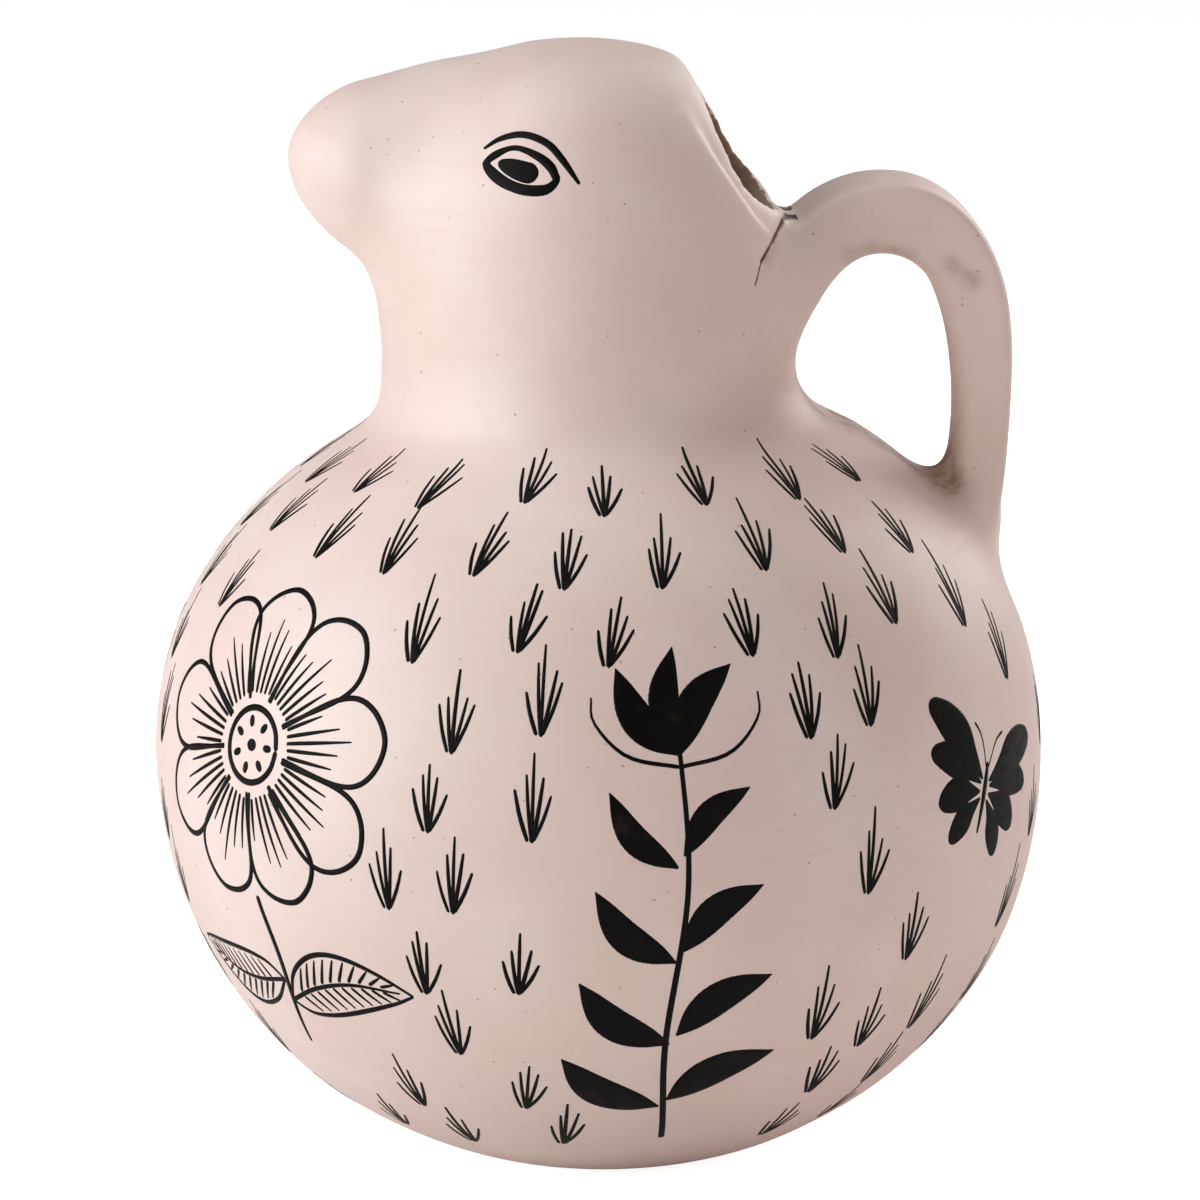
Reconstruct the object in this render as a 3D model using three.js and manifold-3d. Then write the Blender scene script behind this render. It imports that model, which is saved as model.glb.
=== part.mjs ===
// A clay jug in the shape of a bird. The round body is pressed in two halves, a short neck carries a
// hollow head with a blunt beak, the mouth is a slanted oval at the back of the head, and a strap handle
// runs from the neck to the shoulder. Strips of clay smoothed over the seams inside hold the shells.
// Millimetres, +Z up. The origin is the centre of the foot, the beak points to -X, the handle to +X.
import * as THREE from 'three';
import { LoftGeometry } from 'three/addons/geometries/LoftGeometry.js';
import { mergeVertices } from 'three/addons/utils/BufferGeometryUtils.js';
import Module from 'manifold-3d';

const wasm = await Module();
wasm.setup();

// Clay
const WALL = 6; // thickness of every shell
const FLOOR = 8; // thickness at the middle of the foot
const SLIP = 0.3; // film of slip between two pieces

// Body
const BODY_RADIUS = 100; // at the equator
const EQUATOR_HEIGHT = 87; // above the foot
const FOOT_RADIUS = 36; // of the flat that the jug stands on
const DOME_RISE = 88.2; // height of the upper half, were it closed at the top
const BODY_FULLNESS = 2.1; // power of the body's curve, 2 would be an ellipse
const SHOULDER_RADIUS = 54; // where the dome ends and the neck begins
const SHOULDER_LEAN = 2.2; // the shoulder's edge lies this far towards the handle

// Neck, measured from the axis at the waist
const NECK_RISE = 18.7; // from the shoulder's edge up to the waist
const NECK_BEND_LOW = 3.5; // length of the bend at the shoulder
const NECK_BEND_HIGH = 13; // length of the bend at the waist
const NECK_FRONT = 49;
const NECK_BACK = 42.8;
const NECK_SIDE = 46;

// Head, a dome on the waist whose curve leans towards the cheek and then the brow
const HEAD_RISE = 67.2; // from the waist up to the crown
const HEAD_SEAM_RISE = 8; // from the waist up to the joint of neck and head
const CHEEK_RISE = 38;
const CHEEK_FRONT = 54;
const CHEEK_BACK = 47;
const CHEEK_SIDE = 47;
const BROW_FRONT = 46;
const BROW_BACK = 38;
const BROW_SIDE = 46;
const CROWN_FORWARD = 4; // the crown's distance in front of the axis

// Beak, one end of an egg that is set in the head and tilts up
const BEAK_LENGTH = 42; // from the egg's middle to the tip
const BEAK_DEPTH = 25.4; // half height
const BEAK_BREADTH = 25; // half width
const BEAK_TILT = 16.5; // degrees
const BEAK_FORWARD = 27; // the egg's middle in front of the axis
const BEAK_RISE = 34.4; // the egg's middle above the waist
const BEAK_SEAM = 20; // from the egg's middle to the joint with the head

// Mouth, a flat cut across the back of the head with an oval opening
const MOUTH_TILT = 33.4; // degrees that its face looks up
const MOUTH_INSET = 10.9; // the cut's middle in front of the neck's back
const MOUTH_RISE = 40.9; // the cut's middle above the waist
const MOUTH_HEIGHT = 31; // of the opening, along the cut
const MOUTH_WIDTH = 50;
const MOUTH_RAISE = 3; // the opening's middle above the cut's middle, along the cut
const LIP_DEPTH = 5; // the lip's band behind the cut

// Strips over the seams inside
const STRIP_WIDTH = 16;
const STRIP_THICKNESS = 3;

// Handle
const STRAP_WIDTH = 28;
const STRAP_ROOT_THICKNESS = 15.5; // from the neck over the arch
const STRAP_FOOT_THICKNESS = 11.5; // down to the shoulder
const STRAP_TAPER_START = 0.4; // share of the strap's length where it begins to thin
const STRAP_TAPER_END = 0.8;
const STRAP_EDGE = 4; // power of the section's rounded corners, 2 would be an ellipse
const ROOT_DEPTH = 6.3; // the strap's buried end inside the neck's back
const ROOT_RISE = 0.4; // the buried end above the waist
const ROOT_LEAN = 70; // degrees at which the strap rises there
const ROOT_PULL = 13.3;
const ARCH_REACH = 20.7; // the arch's top behind the neck's back
const ARCH_RISE = 29.4; // the arch's middle line above the waist
const ARCH_PULL_IN = 13;
const ARCH_PULL_OUT = 23;
const HANDLE_FOOT_INSET = 17.5; // the handle's foot inside the body's radius
const FOOT_LEAN = 79.7; // degrees at which the strap meets the shoulder
const FOOT_PULL = 44.7;

// Lutes, the clay that is smeared round the ends of the handle
const LUTE_MARGIN = 6; // reach beyond the strap's edges
const LUTE_HEIGHT = 4; // thickness over the wall
const UPPER_LUTE_LENGTH = 14; // half length along the neck
const UPPER_LUTE_RISE = 10; // its middle above the waist
const FOOT_LUTE_LENGTH = 14; // half length along the shoulder

// Fineness of the surfaces
const SEGMENTS = 40;
const BOWL_ROWS = 9;
const DOME_ROWS = 6;
const NECK_ROWS = 5;
const HEAD_ROWS = 9;
const EGG_SEGMENTS = 24;
const EGG_ROWS = 12;
const STRAP_STEPS = 20;
const STRAP_POINTS = 16;

const ACROSS = new THREE.Vector3(0, 1, 0);
const radians = THREE.MathUtils.degToRad;

// On the body's curve, with both sizes as shares of its half sizes: the other one, and a point by its turn
function complement(share) {
  return (1 - share ** BODY_FULLNESS) ** (1 / BODY_FULLNESS);
}
function fuller(share) {
  return share ** (2 / BODY_FULLNESS);
}
function turnAt(share) {
  return Math.asin(share ** (BODY_FULLNESS / 2));
}

// The dome's height over a point at some reach from the axis, and the way its surface looks there
function domeHeight(reach) {
  return EQUATOR_HEIGHT + DOME_RISE * complement(reach / BODY_RADIUS);
}
function domeFacing(reach, radius, rise) {
  const share = reach / radius;
  const power = BODY_FULLNESS - 1;
  return new THREE.Vector2(share ** power / radius, complement(share) ** power / rise).normalize();
}

// Heights that follow from the sizes above
const bowlDepth = EQUATOR_HEIGHT / complement(FOOT_RADIUS / BODY_RADIUS);
const shoulderHeight = domeHeight(SHOULDER_RADIUS);
const waistHeight = shoulderHeight + NECK_RISE;
const crownHeight = waistHeight + HEAD_RISE;
const headSeamHeight = waistHeight + HEAD_SEAM_RISE;
const spread = 2 * (BODY_RADIUS + crownHeight);

// A closed geometry as a solid that can be joined and cut
function solid(geometry) {
  const bare = new THREE.BufferGeometry().copy(geometry);
  bare.deleteAttribute('normal');
  bare.deleteAttribute('uv');
  const merged = mergeVertices(bare);
  const corners = merged.getIndex().array;
  const kept = [];
  for (let i = 0; i < corners.length; i += 3) {
    const [a, b, c] = corners.slice(i, i + 3);
    if (a !== b && b !== c && c !== a) kept.push(a, b, c);
  }
  const vertProperties = new Float32Array(merged.getAttribute('position').array);
  const triVerts = new Uint32Array(kept);
  return new wasm.Manifold(new wasm.Mesh({ numProp: 3, vertProperties, triVerts }));
}

// A finished piece as a mesh of its own
function piece(name, shape, colour, roughness) {
  const { vertProperties, triVerts } = shape.getMesh();
  const geometry = new THREE.BufferGeometry();
  geometry.setAttribute('position', new THREE.BufferAttribute(vertProperties, 3));
  geometry.setIndex(new THREE.BufferAttribute(triVerts, 1));
  geometry.computeVertexNormals();
  const material = new THREE.MeshStandardMaterial({ color: colour, roughness, metalness: 0 });
  const mesh = new THREE.Mesh(geometry, material);
  mesh.name = name;
  return mesh;
}

// One level ring of the vessel: an ellipse with its own reach to the front, the back and the sides
function ring(height, front, back, side) {
  const centre = (back - front) / 2;
  const halfLength = (back + front) / 2;
  return Array.from({ length: SEGMENTS }, (_, i) => {
    const turn = (i / SEGMENTS) * 2 * Math.PI;
    return new THREE.Vector3(centre + halfLength * Math.cos(turn), side * Math.sin(turn), height);
  });
}

// Rings along three curves of radius and height that share their heights
function curvedRings(front, back, side, rows) {
  return Array.from({ length: rows }, (_, i) => {
    const [f, b, s] = [front, back, side].map((curve) => curve.getPoint((i + 1) / rows));
    return ring(f.y, f.x, b.x, s.x);
  });
}

function curve(...points) {
  return new THREE.CubicBezierCurve(...points.map(([radius, height]) => new THREE.Vector2(radius, height)));
}

// The vessel as a full block from a floor up to the crown, grown or shrunk all over
function vessel(grow, floor) {
  const radius = BODY_RADIUS + grow;
  const depth = bowlDepth + grow;
  const rise = DOME_RISE + grow;
  const rings = [];
  const floorTurn = turnAt((EQUATOR_HEIGHT - floor) / depth);
  for (let i = 0; i <= BOWL_ROWS; i++) {
    const turn = floorTurn * (1 - i / BOWL_ROWS);
    const reach = radius * fuller(Math.cos(turn));
    rings.push(ring(EQUATOR_HEIGHT - depth * fuller(Math.sin(turn)), reach, reach, reach));
  }
  const shoulderShare = SHOULDER_RADIUS / BODY_RADIUS;
  const shoulderTurn = turnAt(complement(shoulderShare));
  for (let i = 1; i <= DOME_ROWS; i++) {
    const turn = (shoulderTurn * i) / DOME_ROWS;
    const reach = radius * fuller(Math.cos(turn));
    const lean = SHOULDER_LEAN * (i / DOME_ROWS) ** 2;
    rings.push(ring(EQUATOR_HEIGHT + rise * fuller(Math.sin(turn)), reach - lean, reach + lean, reach));
  }
  const edgeHeight = EQUATOR_HEIGHT + rise * complement(shoulderShare);
  const edge = new THREE.Vector2(radius * shoulderShare, edgeHeight);
  const facing = domeFacing(edge.x, radius, rise);
  const bend = edge.clone().add(new THREE.Vector2(-facing.y, facing.x).multiplyScalar(NECK_BEND_LOW));
  const neck = (waist, lean) => curve(
    [edge.x + lean, edge.y],
    [bend.x + lean, bend.y],
    [waist + grow, waistHeight - NECK_BEND_HIGH],
    [waist + grow, waistHeight],
  );
  rings.push(...curvedRings(
    neck(NECK_FRONT, -SHOULDER_LEAN),
    neck(NECK_BACK, SHOULDER_LEAN),
    neck(NECK_SIDE, 0),
    NECK_ROWS,
  ));
  const head = (waist, cheek, brow, crown) => curve(
    [waist + grow, waistHeight],
    [cheek + grow, waistHeight + CHEEK_RISE],
    [brow + grow, crownHeight + grow],
    [crown, crownHeight + grow],
  );
  rings.push(...curvedRings(
    head(NECK_FRONT, CHEEK_FRONT, BROW_FRONT, CROWN_FORWARD),
    head(NECK_BACK, CHEEK_BACK, BROW_BACK, -CROWN_FORWARD),
    head(NECK_SIDE, CHEEK_SIDE, BROW_SIDE, 0),
    HEAD_ROWS,
  ));
  return solid(new LoftGeometry(rings, { capStart: true }));
}

// An egg with its three half sizes along X, Y and Z
function egg(halfX, halfY, halfZ) {
  const geometry = new THREE.SphereGeometry(1, EGG_SEGMENTS, EGG_ROWS);
  return geometry.rotateX(Math.PI / 2).scale(halfX, halfY, halfZ);
}

// Tilts a shape that was made along +X up by some degrees, over to -X past 90, and moves it into place
function aimed(geometry, degrees, x, z) {
  return solid(geometry.rotateY(-radians(degrees)).translate(x, 0, z));
}

// All that lies between two heights
function slab(low, high) {
  return solid(new THREE.BoxGeometry(spread, spread, high - low).translate(0, 0, (low + high) / 2));
}

// The beak's egg, and the block in front of its joint
const beakHeight = waistHeight + BEAK_RISE;
const beakTurn = 180 - BEAK_TILT;
function beakEgg(grow) {
  const shape = egg(BEAK_LENGTH + grow, BEAK_BREADTH + grow, BEAK_DEPTH + grow);
  return aimed(shape, beakTurn, -BEAK_FORWARD, beakHeight);
}
function beakFront(seam) {
  const block = new THREE.BoxGeometry(BEAK_LENGTH, 4 * BEAK_BREADTH, 4 * BEAK_DEPTH);
  return aimed(block.translate(seam + BEAK_LENGTH / 2, 0, 0), beakTurn, -BEAK_FORWARD, beakHeight);
}

// The block that the mouth's cut takes away, moved along the cut's own direction, and the oval opening,
// which is bored as deep as the head's back lies from the axis
function atMouth(geometry) {
  return aimed(geometry, MOUTH_TILT, NECK_BACK - MOUTH_INSET, waistHeight + MOUTH_RISE);
}
function beyondMouth(shift) {
  const block = new THREE.BoxGeometry(spread, spread, spread);
  return atMouth(block.translate(shift + spread / 2, 0, 0));
}
function mouthOpening() {
  const oval = new THREE.CylinderGeometry(1, 1, 2 * NECK_BACK, SEGMENTS).rotateZ(Math.PI / 2);
  return atMouth(oval.scale(1, MOUTH_WIDTH / 2, MOUTH_HEIGHT / 2).translate(0, 0, MOUTH_RAISE));
}

// The strap's middle line: up out of the neck's back, over the arch and down to the shoulder
const rootPoint = new THREE.Vector3(NECK_BACK - ROOT_DEPTH, 0, waistHeight + ROOT_RISE);
const archPoint = new THREE.Vector3(NECK_BACK + ARCH_REACH, 0, waistHeight + ARCH_RISE);
const footReach = BODY_RADIUS - HANDLE_FOOT_INSET;
const footHeight = domeHeight(footReach);
const footPoint = new THREE.Vector3(footReach, 0, footHeight - WALL / 2);
function leaning(point, degrees, length) {
  const angle = radians(degrees);
  return point.clone().add(new THREE.Vector3(length * Math.cos(angle), 0, length * Math.sin(angle)));
}
const strapLine = new THREE.CurvePath();
strapLine.add(new THREE.CubicBezierCurve3(
  rootPoint,
  leaning(rootPoint, ROOT_LEAN, ROOT_PULL),
  leaning(archPoint, 180, ARCH_PULL_IN),
  archPoint,
));
strapLine.add(new THREE.CubicBezierCurve3(
  archPoint,
  leaning(archPoint, 0, ARCH_PULL_OUT),
  leaning(footPoint, FOOT_LEAN, FOOT_PULL),
  footPoint,
));

function rounded(value) {
  return Math.sign(value) * Math.abs(value) ** (2 / STRAP_EDGE);
}

// The strap as a full block, with its swelling at the neck
function strap(grow) {
  const sections = [];
  for (let i = 0; i <= STRAP_STEPS; i++) {
    const along = i / STRAP_STEPS;
    const middle = strapLine.getPointAt(along);
    const outward = new THREE.Vector3().crossVectors(strapLine.getTangentAt(along), ACROSS);
    const thinning = THREE.MathUtils.smoothstep(along, STRAP_TAPER_START, STRAP_TAPER_END);
    const thickness = THREE.MathUtils.lerp(STRAP_ROOT_THICKNESS, STRAP_FOOT_THICKNESS, thinning);
    sections.push(Array.from({ length: STRAP_POINTS }, (_, j) => {
      const turn = (j / STRAP_POINTS) * 2 * Math.PI;
      return middle.clone()
        .addScaledVector(ACROSS, (STRAP_WIDTH / 2 + grow) * rounded(Math.cos(turn)))
        .addScaledVector(outward, (thickness / 2 + grow) * rounded(Math.sin(turn)));
    }));
  }
  return solid(new LoftGeometry(sections, { capStart: true, capEnd: true }));
}

// The shells, cut from one hollow form along the joints
const joint = SLIP / 2;
const hollow = vessel(0, 0).add(beakEgg(0)).subtract(vessel(-WALL, FLOOR).add(beakEgg(-WALL)));
const baseBowl = hollow.intersect(slab(-spread, EQUATOR_HEIGHT - joint));
const shoulderDome = hollow.intersect(slab(EQUATOR_HEIGHT + joint, shoulderHeight - joint));
const neckCollar = hollow.intersect(slab(shoulderHeight + joint, headSeamHeight - joint));
const closedHead = hollow.intersect(slab(headSeamHeight + joint, spread));
const headPart = closedHead.subtract(beyondMouth(0)).subtract(mouthOpening());
const beak = headPart.intersect(beakFront(BEAK_SEAM + joint));
const mouthLip = headPart.intersect(beyondMouth(joint - LIP_DEPTH));
const headBehindBeak = headPart.subtract(beakFront(BEAK_SEAM - joint));
const headShell = headBehindBeak.subtract(beyondMouth(-joint - LIP_DEPTH));

// The strips follow the inside of the walls
const stripOutside = -WALL - SLIP;
const stripInside = stripOutside - STRIP_THICKNESS;
const stripFloor = FLOOR + SLIP;
const stripBand = vessel(stripOutside, stripFloor).subtract(vessel(stripInside, stripFloor));
function seamStrip(height) {
  return stripBand.intersect(slab(height - STRIP_WIDTH / 2, height + STRIP_WIDTH / 2));
}

// The handle and its lutes stop at the film of slip on the vessel
const slippedVessel = vessel(SLIP, 0);
const slippedStrap = strap(SLIP);
const luteBreadth = STRAP_WIDTH / 2 + LUTE_MARGIN;
const upperEgg = egg(LUTE_HEIGHT, luteBreadth, UPPER_LUTE_LENGTH);
const footEgg = egg(LUTE_HEIGHT, luteBreadth, FOOT_LUTE_LENGTH);
const footFacing = THREE.MathUtils.radToDeg(domeFacing(footReach, BODY_RADIUS, DOME_RISE).angle());
function lute(block) {
  return block.subtract(slippedVessel).subtract(slippedStrap);
}
const upperLute = lute(aimed(upperEgg, 0, NECK_BACK, waistHeight + UPPER_LUTE_RISE));
const footLute = lute(aimed(footEgg, footFacing, footReach, footHeight));
const handleStrap = strap(0).subtract(slippedVessel);

const SLIPPED_CLAY = 0xe2d1ca;
const BARE_CLAY = 0xb89a86;
const BURNISHED = 0.5;
const DULL = 0.85;

const body = new THREE.Group();
body.add(
  piece('base_bowl', baseBowl, SLIPPED_CLAY, BURNISHED),
  piece('shoulder_dome', shoulderDome, SLIPPED_CLAY, BURNISHED),
  piece('body_seam_strip', seamStrip(EQUATOR_HEIGHT), BARE_CLAY, DULL),
);

const head = new THREE.Group();
head.add(
  piece('neck_collar', neckCollar, SLIPPED_CLAY, BURNISHED),
  piece('neck_seam_strip', seamStrip(shoulderHeight), BARE_CLAY, DULL),
  piece('head_shell', headShell, SLIPPED_CLAY, BURNISHED),
  piece('head_seam_strip', seamStrip(headSeamHeight), BARE_CLAY, DULL),
  piece('beak', beak, SLIPPED_CLAY, BURNISHED),
  piece('mouth_lip', mouthLip, SLIPPED_CLAY, BURNISHED),
);

const handle = new THREE.Group();
handle.add(
  piece('handle_strap', handleStrap, SLIPPED_CLAY, BURNISHED),
  piece('handle_upper_lute', upperLute, SLIPPED_CLAY, BURNISHED),
  piece('handle_foot_lute', footLute, SLIPPED_CLAY, BURNISHED),
);

const jug = new THREE.Group();
jug.add(body, head, handle);

export default jug;
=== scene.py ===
import math
import random
from itertools import combinations
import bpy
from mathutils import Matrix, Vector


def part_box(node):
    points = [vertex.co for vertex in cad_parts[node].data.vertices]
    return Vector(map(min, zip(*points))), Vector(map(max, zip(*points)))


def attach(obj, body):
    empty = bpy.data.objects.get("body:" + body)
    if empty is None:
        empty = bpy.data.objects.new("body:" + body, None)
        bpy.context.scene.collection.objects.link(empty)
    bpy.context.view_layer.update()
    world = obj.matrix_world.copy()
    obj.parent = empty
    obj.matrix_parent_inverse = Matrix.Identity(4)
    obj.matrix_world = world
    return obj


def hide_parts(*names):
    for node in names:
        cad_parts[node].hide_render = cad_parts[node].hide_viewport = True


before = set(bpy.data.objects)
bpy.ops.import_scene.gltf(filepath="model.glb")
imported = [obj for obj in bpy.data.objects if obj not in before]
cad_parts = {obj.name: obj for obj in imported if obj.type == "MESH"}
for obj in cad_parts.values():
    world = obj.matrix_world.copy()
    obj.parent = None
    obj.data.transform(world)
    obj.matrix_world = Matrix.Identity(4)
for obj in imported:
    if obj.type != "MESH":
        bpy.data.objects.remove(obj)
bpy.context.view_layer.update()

from types import SimpleNamespace

import bmesh
import bpy
import numpy as np
from bpy.props import FloatProperty, FloatVectorProperty, IntProperty, PointerProperty
from mathutils import Matrix, Vector, noise
from mathutils.bvhtree import BVHTree

bl_info = {
    "name": "Clay bird jug",
    "version": (1, 0, 0),
    "blender": (4, 5, 0),
    "location": "View3D > Sidebar > Bird jug",
    "description": "A hand-built clay jug in the shape of a bird, burnished and painted with black slip",
    "category": "Add Mesh",
}

METRE = 1000.0  # millimetres, the unit in which the clay is formed before it is scaled to metres
ACROSS = Vector((0.0, 1.0, 0.0))
UP = Vector((0.0, 0.0, 1.0))


def seam_height(lower, upper):
    """The height of the joint between two nodes of the frame, in metres."""
    return (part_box(lower)[1].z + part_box(upper)[0].z) / 2


EQUATOR = seam_height("base_bowl", "shoulder_dome")
SHOULDER = seam_height("shoulder_dome", "neck_collar")
HEAD_SEAM = seam_height("neck_collar", "head_shell")
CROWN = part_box("head_shell")[1].z
BODY_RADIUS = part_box("base_bowl")[1].x
STRAP_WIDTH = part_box("handle_strap")[1].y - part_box("handle_strap")[0].y


# Settings

def factor(name, description, default, **kind):
    """A plain number, or one with a unit."""
    return FloatProperty(name=name, description=description, default=default, **kind)


def length(name, description, metres):
    return factor(name, description, metres, unit="LENGTH", precision=4)


def angle(name, description, degrees):
    return factor(name, description, math.radians(degrees), unit="ROTATION")


def colour(name, description, red, green, blue):
    """A colour that is written as on a screen, from 0 to 255, and kept as linear light."""
    shares = [channel / 255 for channel in (red, green, blue)]
    linear = [((s + 0.055) / 1.055) ** 2.4 if s > 0.04045 else s / 12.92 for s in shares]
    return FloatVectorProperty(
        name=name, description=description, default=linear, subtype="COLOR", size=3, min=0.0, max=1.0,
    )


class VesselSizes(bpy.types.PropertyGroup):
    """The turned-looking part of the jug: body, neck and head"""
    wall: length("Wall", "Thickness of the clay", 0.006)
    floor: length("Floor", "Thickness at the middle of the foot", 0.008)
    body_radius: length("Body radius", "Reach of the body at its equator", BODY_RADIUS)
    equator: length("Equator", "Height of the widest line", EQUATOR)
    foot_radius: length("Foot radius", "The flat that the jug stands on", 0.036)
    foot_slack: length("Foot slack", "How far the front of the bowl is drawn in at the foot", 0.0022)
    dome_rise: length("Dome rise", "Height of the upper half, were it closed", 0.0882)
    fullness: factor("Fullness", "Power of the body's curve, 2 would be an ellipse", 2.1)
    shoulder_radius: length("Shoulder radius", "Where the dome ends and the neck begins", 0.054)
    shoulder_lean: length("Shoulder lean", "The shoulder's edge lies this far towards the handle", 0.0022)
    waist: length("Waist", "Height of the narrowest line of the neck", SHOULDER + 0.0187)
    neck_bend_low: length("Bend at the shoulder", "Length of the curve there", 0.0035)
    neck_bend_back: length("Bend at the back", "Length of the same curve below the handle", 0.0065)
    neck_bend_high: length("Bend at the waist", "Length of the curve there", 0.013)
    neck_front: length("Neck front", "Reach of the waist to the front", 0.0483)
    neck_back: length("Neck back", "Reach of the waist to the back", 0.0428)
    neck_side: length("Neck side", "Reach of the waist to the sides", 0.046)
    crown: length("Crown", "Height of the top of the head", CROWN)
    cheek_rise: length("Cheek rise", "Pull of the cheek's curve above the waist", 0.038)
    cheek_front: length("Cheek front", "Pull of the cheek's curve to the front", 0.054)
    cheek_back: length("Cheek back", "Pull of the cheek's curve to the back", 0.047)
    cheek_side: length("Cheek side", "Pull of the cheek's curve to the sides", 0.047)
    brow_front: length("Brow front", "Pull of the brow's curve to the front", 0.046)
    brow_back: length("Brow back", "Pull of the brow's curve to the back", 0.038)
    brow_side: length("Brow side", "Pull of the brow's curve to the sides", 0.046)
    crown_forward: length("Crown forward", "The crown's distance in front of the axis", 0.004)


class BeakSizes(bpy.types.PropertyGroup):
    """The blunt beak, one end of an egg that is set in the head"""
    reach: length("Length", "From the egg's middle to the tip", 0.043)
    depth: length("Half depth", "Half height of the egg", 0.0249)
    breadth: length("Half breadth", "Half width of the egg", 0.026)
    tilt: angle("Tilt", "How far the beak looks up", 15.2)
    forward: length("Forward", "The egg's middle in front of the axis", 0.027)
    rise: length("Rise", "The egg's middle above the waist", 0.0344)
    seam: length("Seam", "From the egg's middle to the joint with the head", 0.02)


class BlendSizes(bpy.types.PropertyGroup):
    """Clay that is pressed into the corners of the larger forms"""
    ridge_forward: length("Ridge forward", "Clay on the beak's root, in front of the axis", 0.0355)
    ridge_rise: length("Ridge rise", "Above the waist", 0.0517)
    ridge_reach: length("Ridge half length", "From the head to the beak", 0.024)
    ridge_breadth: length("Ridge half breadth", "Across", 0.015)
    ridge_depth: length("Ridge half depth", "Across and up", 0.012)
    ridge_tilt: angle("Ridge tilt", "How far it looks up", -11.8)
    bridge_forward: length("Bridge forward", "Clay between cheek and beak, in front of the axis", 0.0235)
    bridge_rise: length("Bridge rise", "Above the waist", 0.033)
    bridge_reach: length("Bridge half length", "From the head to the beak", 0.033)
    bridge_breadth: length("Bridge half breadth", "Across", 0.0335)
    bridge_depth: length("Bridge half depth", "Up", 0.023)
    heel_inset: length("Heel inset", "Clay at the handle's foot, inside the body's radius", 0.018)
    heel_rise: length("Heel rise", "Above the equator", 0.0505)
    heel_reach: length("Heel half length", "Along the handle", 0.018)
    heel_breadth: length("Heel half breadth", "Across", 0.017)
    heel_depth: length("Heel half depth", "Behind the body", 0.0083)
    heel_tilt: angle("Heel tilt", "Direction of the handle there", 99)


class MouthSizes(bpy.types.PropertyGroup):
    """The slanted cut across the back of the head, with its oval opening"""
    tilt: angle("Tilt", "How far the cut looks up", 33.4)
    inset: length("Inset", "The cut's middle in front of the neck's back", 0.0100)
    rise: length("Rise", "The cut's middle above the waist", 0.0409)
    height: length("Opening height", "Along the cut", 0.033)
    width: length("Opening width", "Across the cut", 0.05)
    lift: length("Opening lift", "The opening's middle above the cut's middle, along the cut", 0.0035)
    depth: length("Opening depth", "How deep the opening is bored to the hollow of the head", 0.014)
    lip: length("Lip depth", "The lip's band behind the cut", 0.005)
    dip: length("Dip", "How far the near side of the rim is pressed in", 0.0022)
    furrow: length("Furrow", "Depth of the open joint between lip and handle", 0.0014)
    furrow_reach: length("Furrow reach", "Half breadth of that joint", 0.0022)


class HandleSizes(bpy.types.PropertyGroup):
    """The strap handle and the line that it follows"""
    width: length("Width", "Breadth of the strap", STRAP_WIDTH)
    root_thickness: length("Thickness at the neck", "From the neck over the arch", 0.0162)
    foot_thickness: length("Thickness at the shoulder", "Down to the shoulder", 0.0113)
    taper_start: factor("Taper start", "Share of the strap's length where it begins to thin", 0.36)
    taper_end: factor("Taper end", "Share of the strap's length where it has thinned", 0.8)
    flare: length("Flare", "How much wider the strap is at its root", 0.019)
    flare_end: factor("Flare end", "Share of the strap's length where the flare has ended", 0.3)
    slim: length("Slim", "How much thinner the strap is at its root, on its underside", 0.002)
    edge: factor("Edge", "Power of the section's rounded corners", 7.0)
    hollow: factor("Hollow", "How far the strap's sides are drawn in", 0.06)
    root_depth: length("Root depth", "The buried end inside the neck's back", 0.0063)
    root_rise: length("Root rise", "The buried end above the waist", 0.0004)
    root_lean: angle("Root lean", "Rise of the strap there", 70)
    root_pull: length("Root pull", "Length of the curve there", 0.0133)
    arch_reach: length("Arch reach", "The arch's top behind the neck's back", 0.0207)
    arch_rise: length("Arch rise", "The arch's middle line above the waist", 0.0288)
    arch_pull_in: length("Arch pull in", "Length of the arch's curve to the neck", 0.0145)
    arch_pull_out: length("Arch pull out", "Length of the arch's curve to the shoulder", 0.0208)
    foot_inset: length("Foot inset", "The handle's foot inside the body's radius", 0.0175)
    foot_lean: angle("Foot lean", "Rise of the strap at the shoulder", 79.7)
    foot_pull: length("Foot pull", "Length of the curve at the shoulder", 0.0447)


class ClaySettings(bpy.types.PropertyGroup):
    """The skin of the clay and the strips inside"""
    grain: length("Grain", "Size of the outer skin's faces", 0.00125)
    inner_grain: length("Inner grain", "Size of the hollow's faces", 0.0024)
    unevenness: length("Unevenness", "Height of the waves that the hand leaves", 0.0005)
    wave: length("Wave", "Length of those waves", 0.045)
    strip_width: length("Strip width", "Breadth of the strips over the seams inside", 0.016)
    strip_thickness: length("Strip thickness", "Of the strips over the seams inside", 0.003)
    slip_film: length("Slip film", "Gap between a strip and the wall", 0.0003)


class FinishColours(bpy.types.PropertyGroup):
    """The colours of the finish"""
    cream: colour("Cream", "Burnished slip where it is lightest", 239, 218, 211)
    blush: colour("Blush", "Pink clouds in the slip", 231, 203, 195)
    sand: colour("Sand", "Beige clouds in the slip", 228, 206, 191)
    speck: colour("Speck", "Pits and specks", 120, 92, 76)
    # this brown also paints shade under the handle and beside the open joint
    grime: colour("Grime", "Brown smudges in the corners", 128, 100, 78)
    rust: colour("Rust", "The crack between lip and handle", 74, 34, 28)
    clay: colour("Clay", "Unslipped clay inside", 174, 146, 124)
    black: colour("Black", "Black slip", 10, 7, 8)


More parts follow.
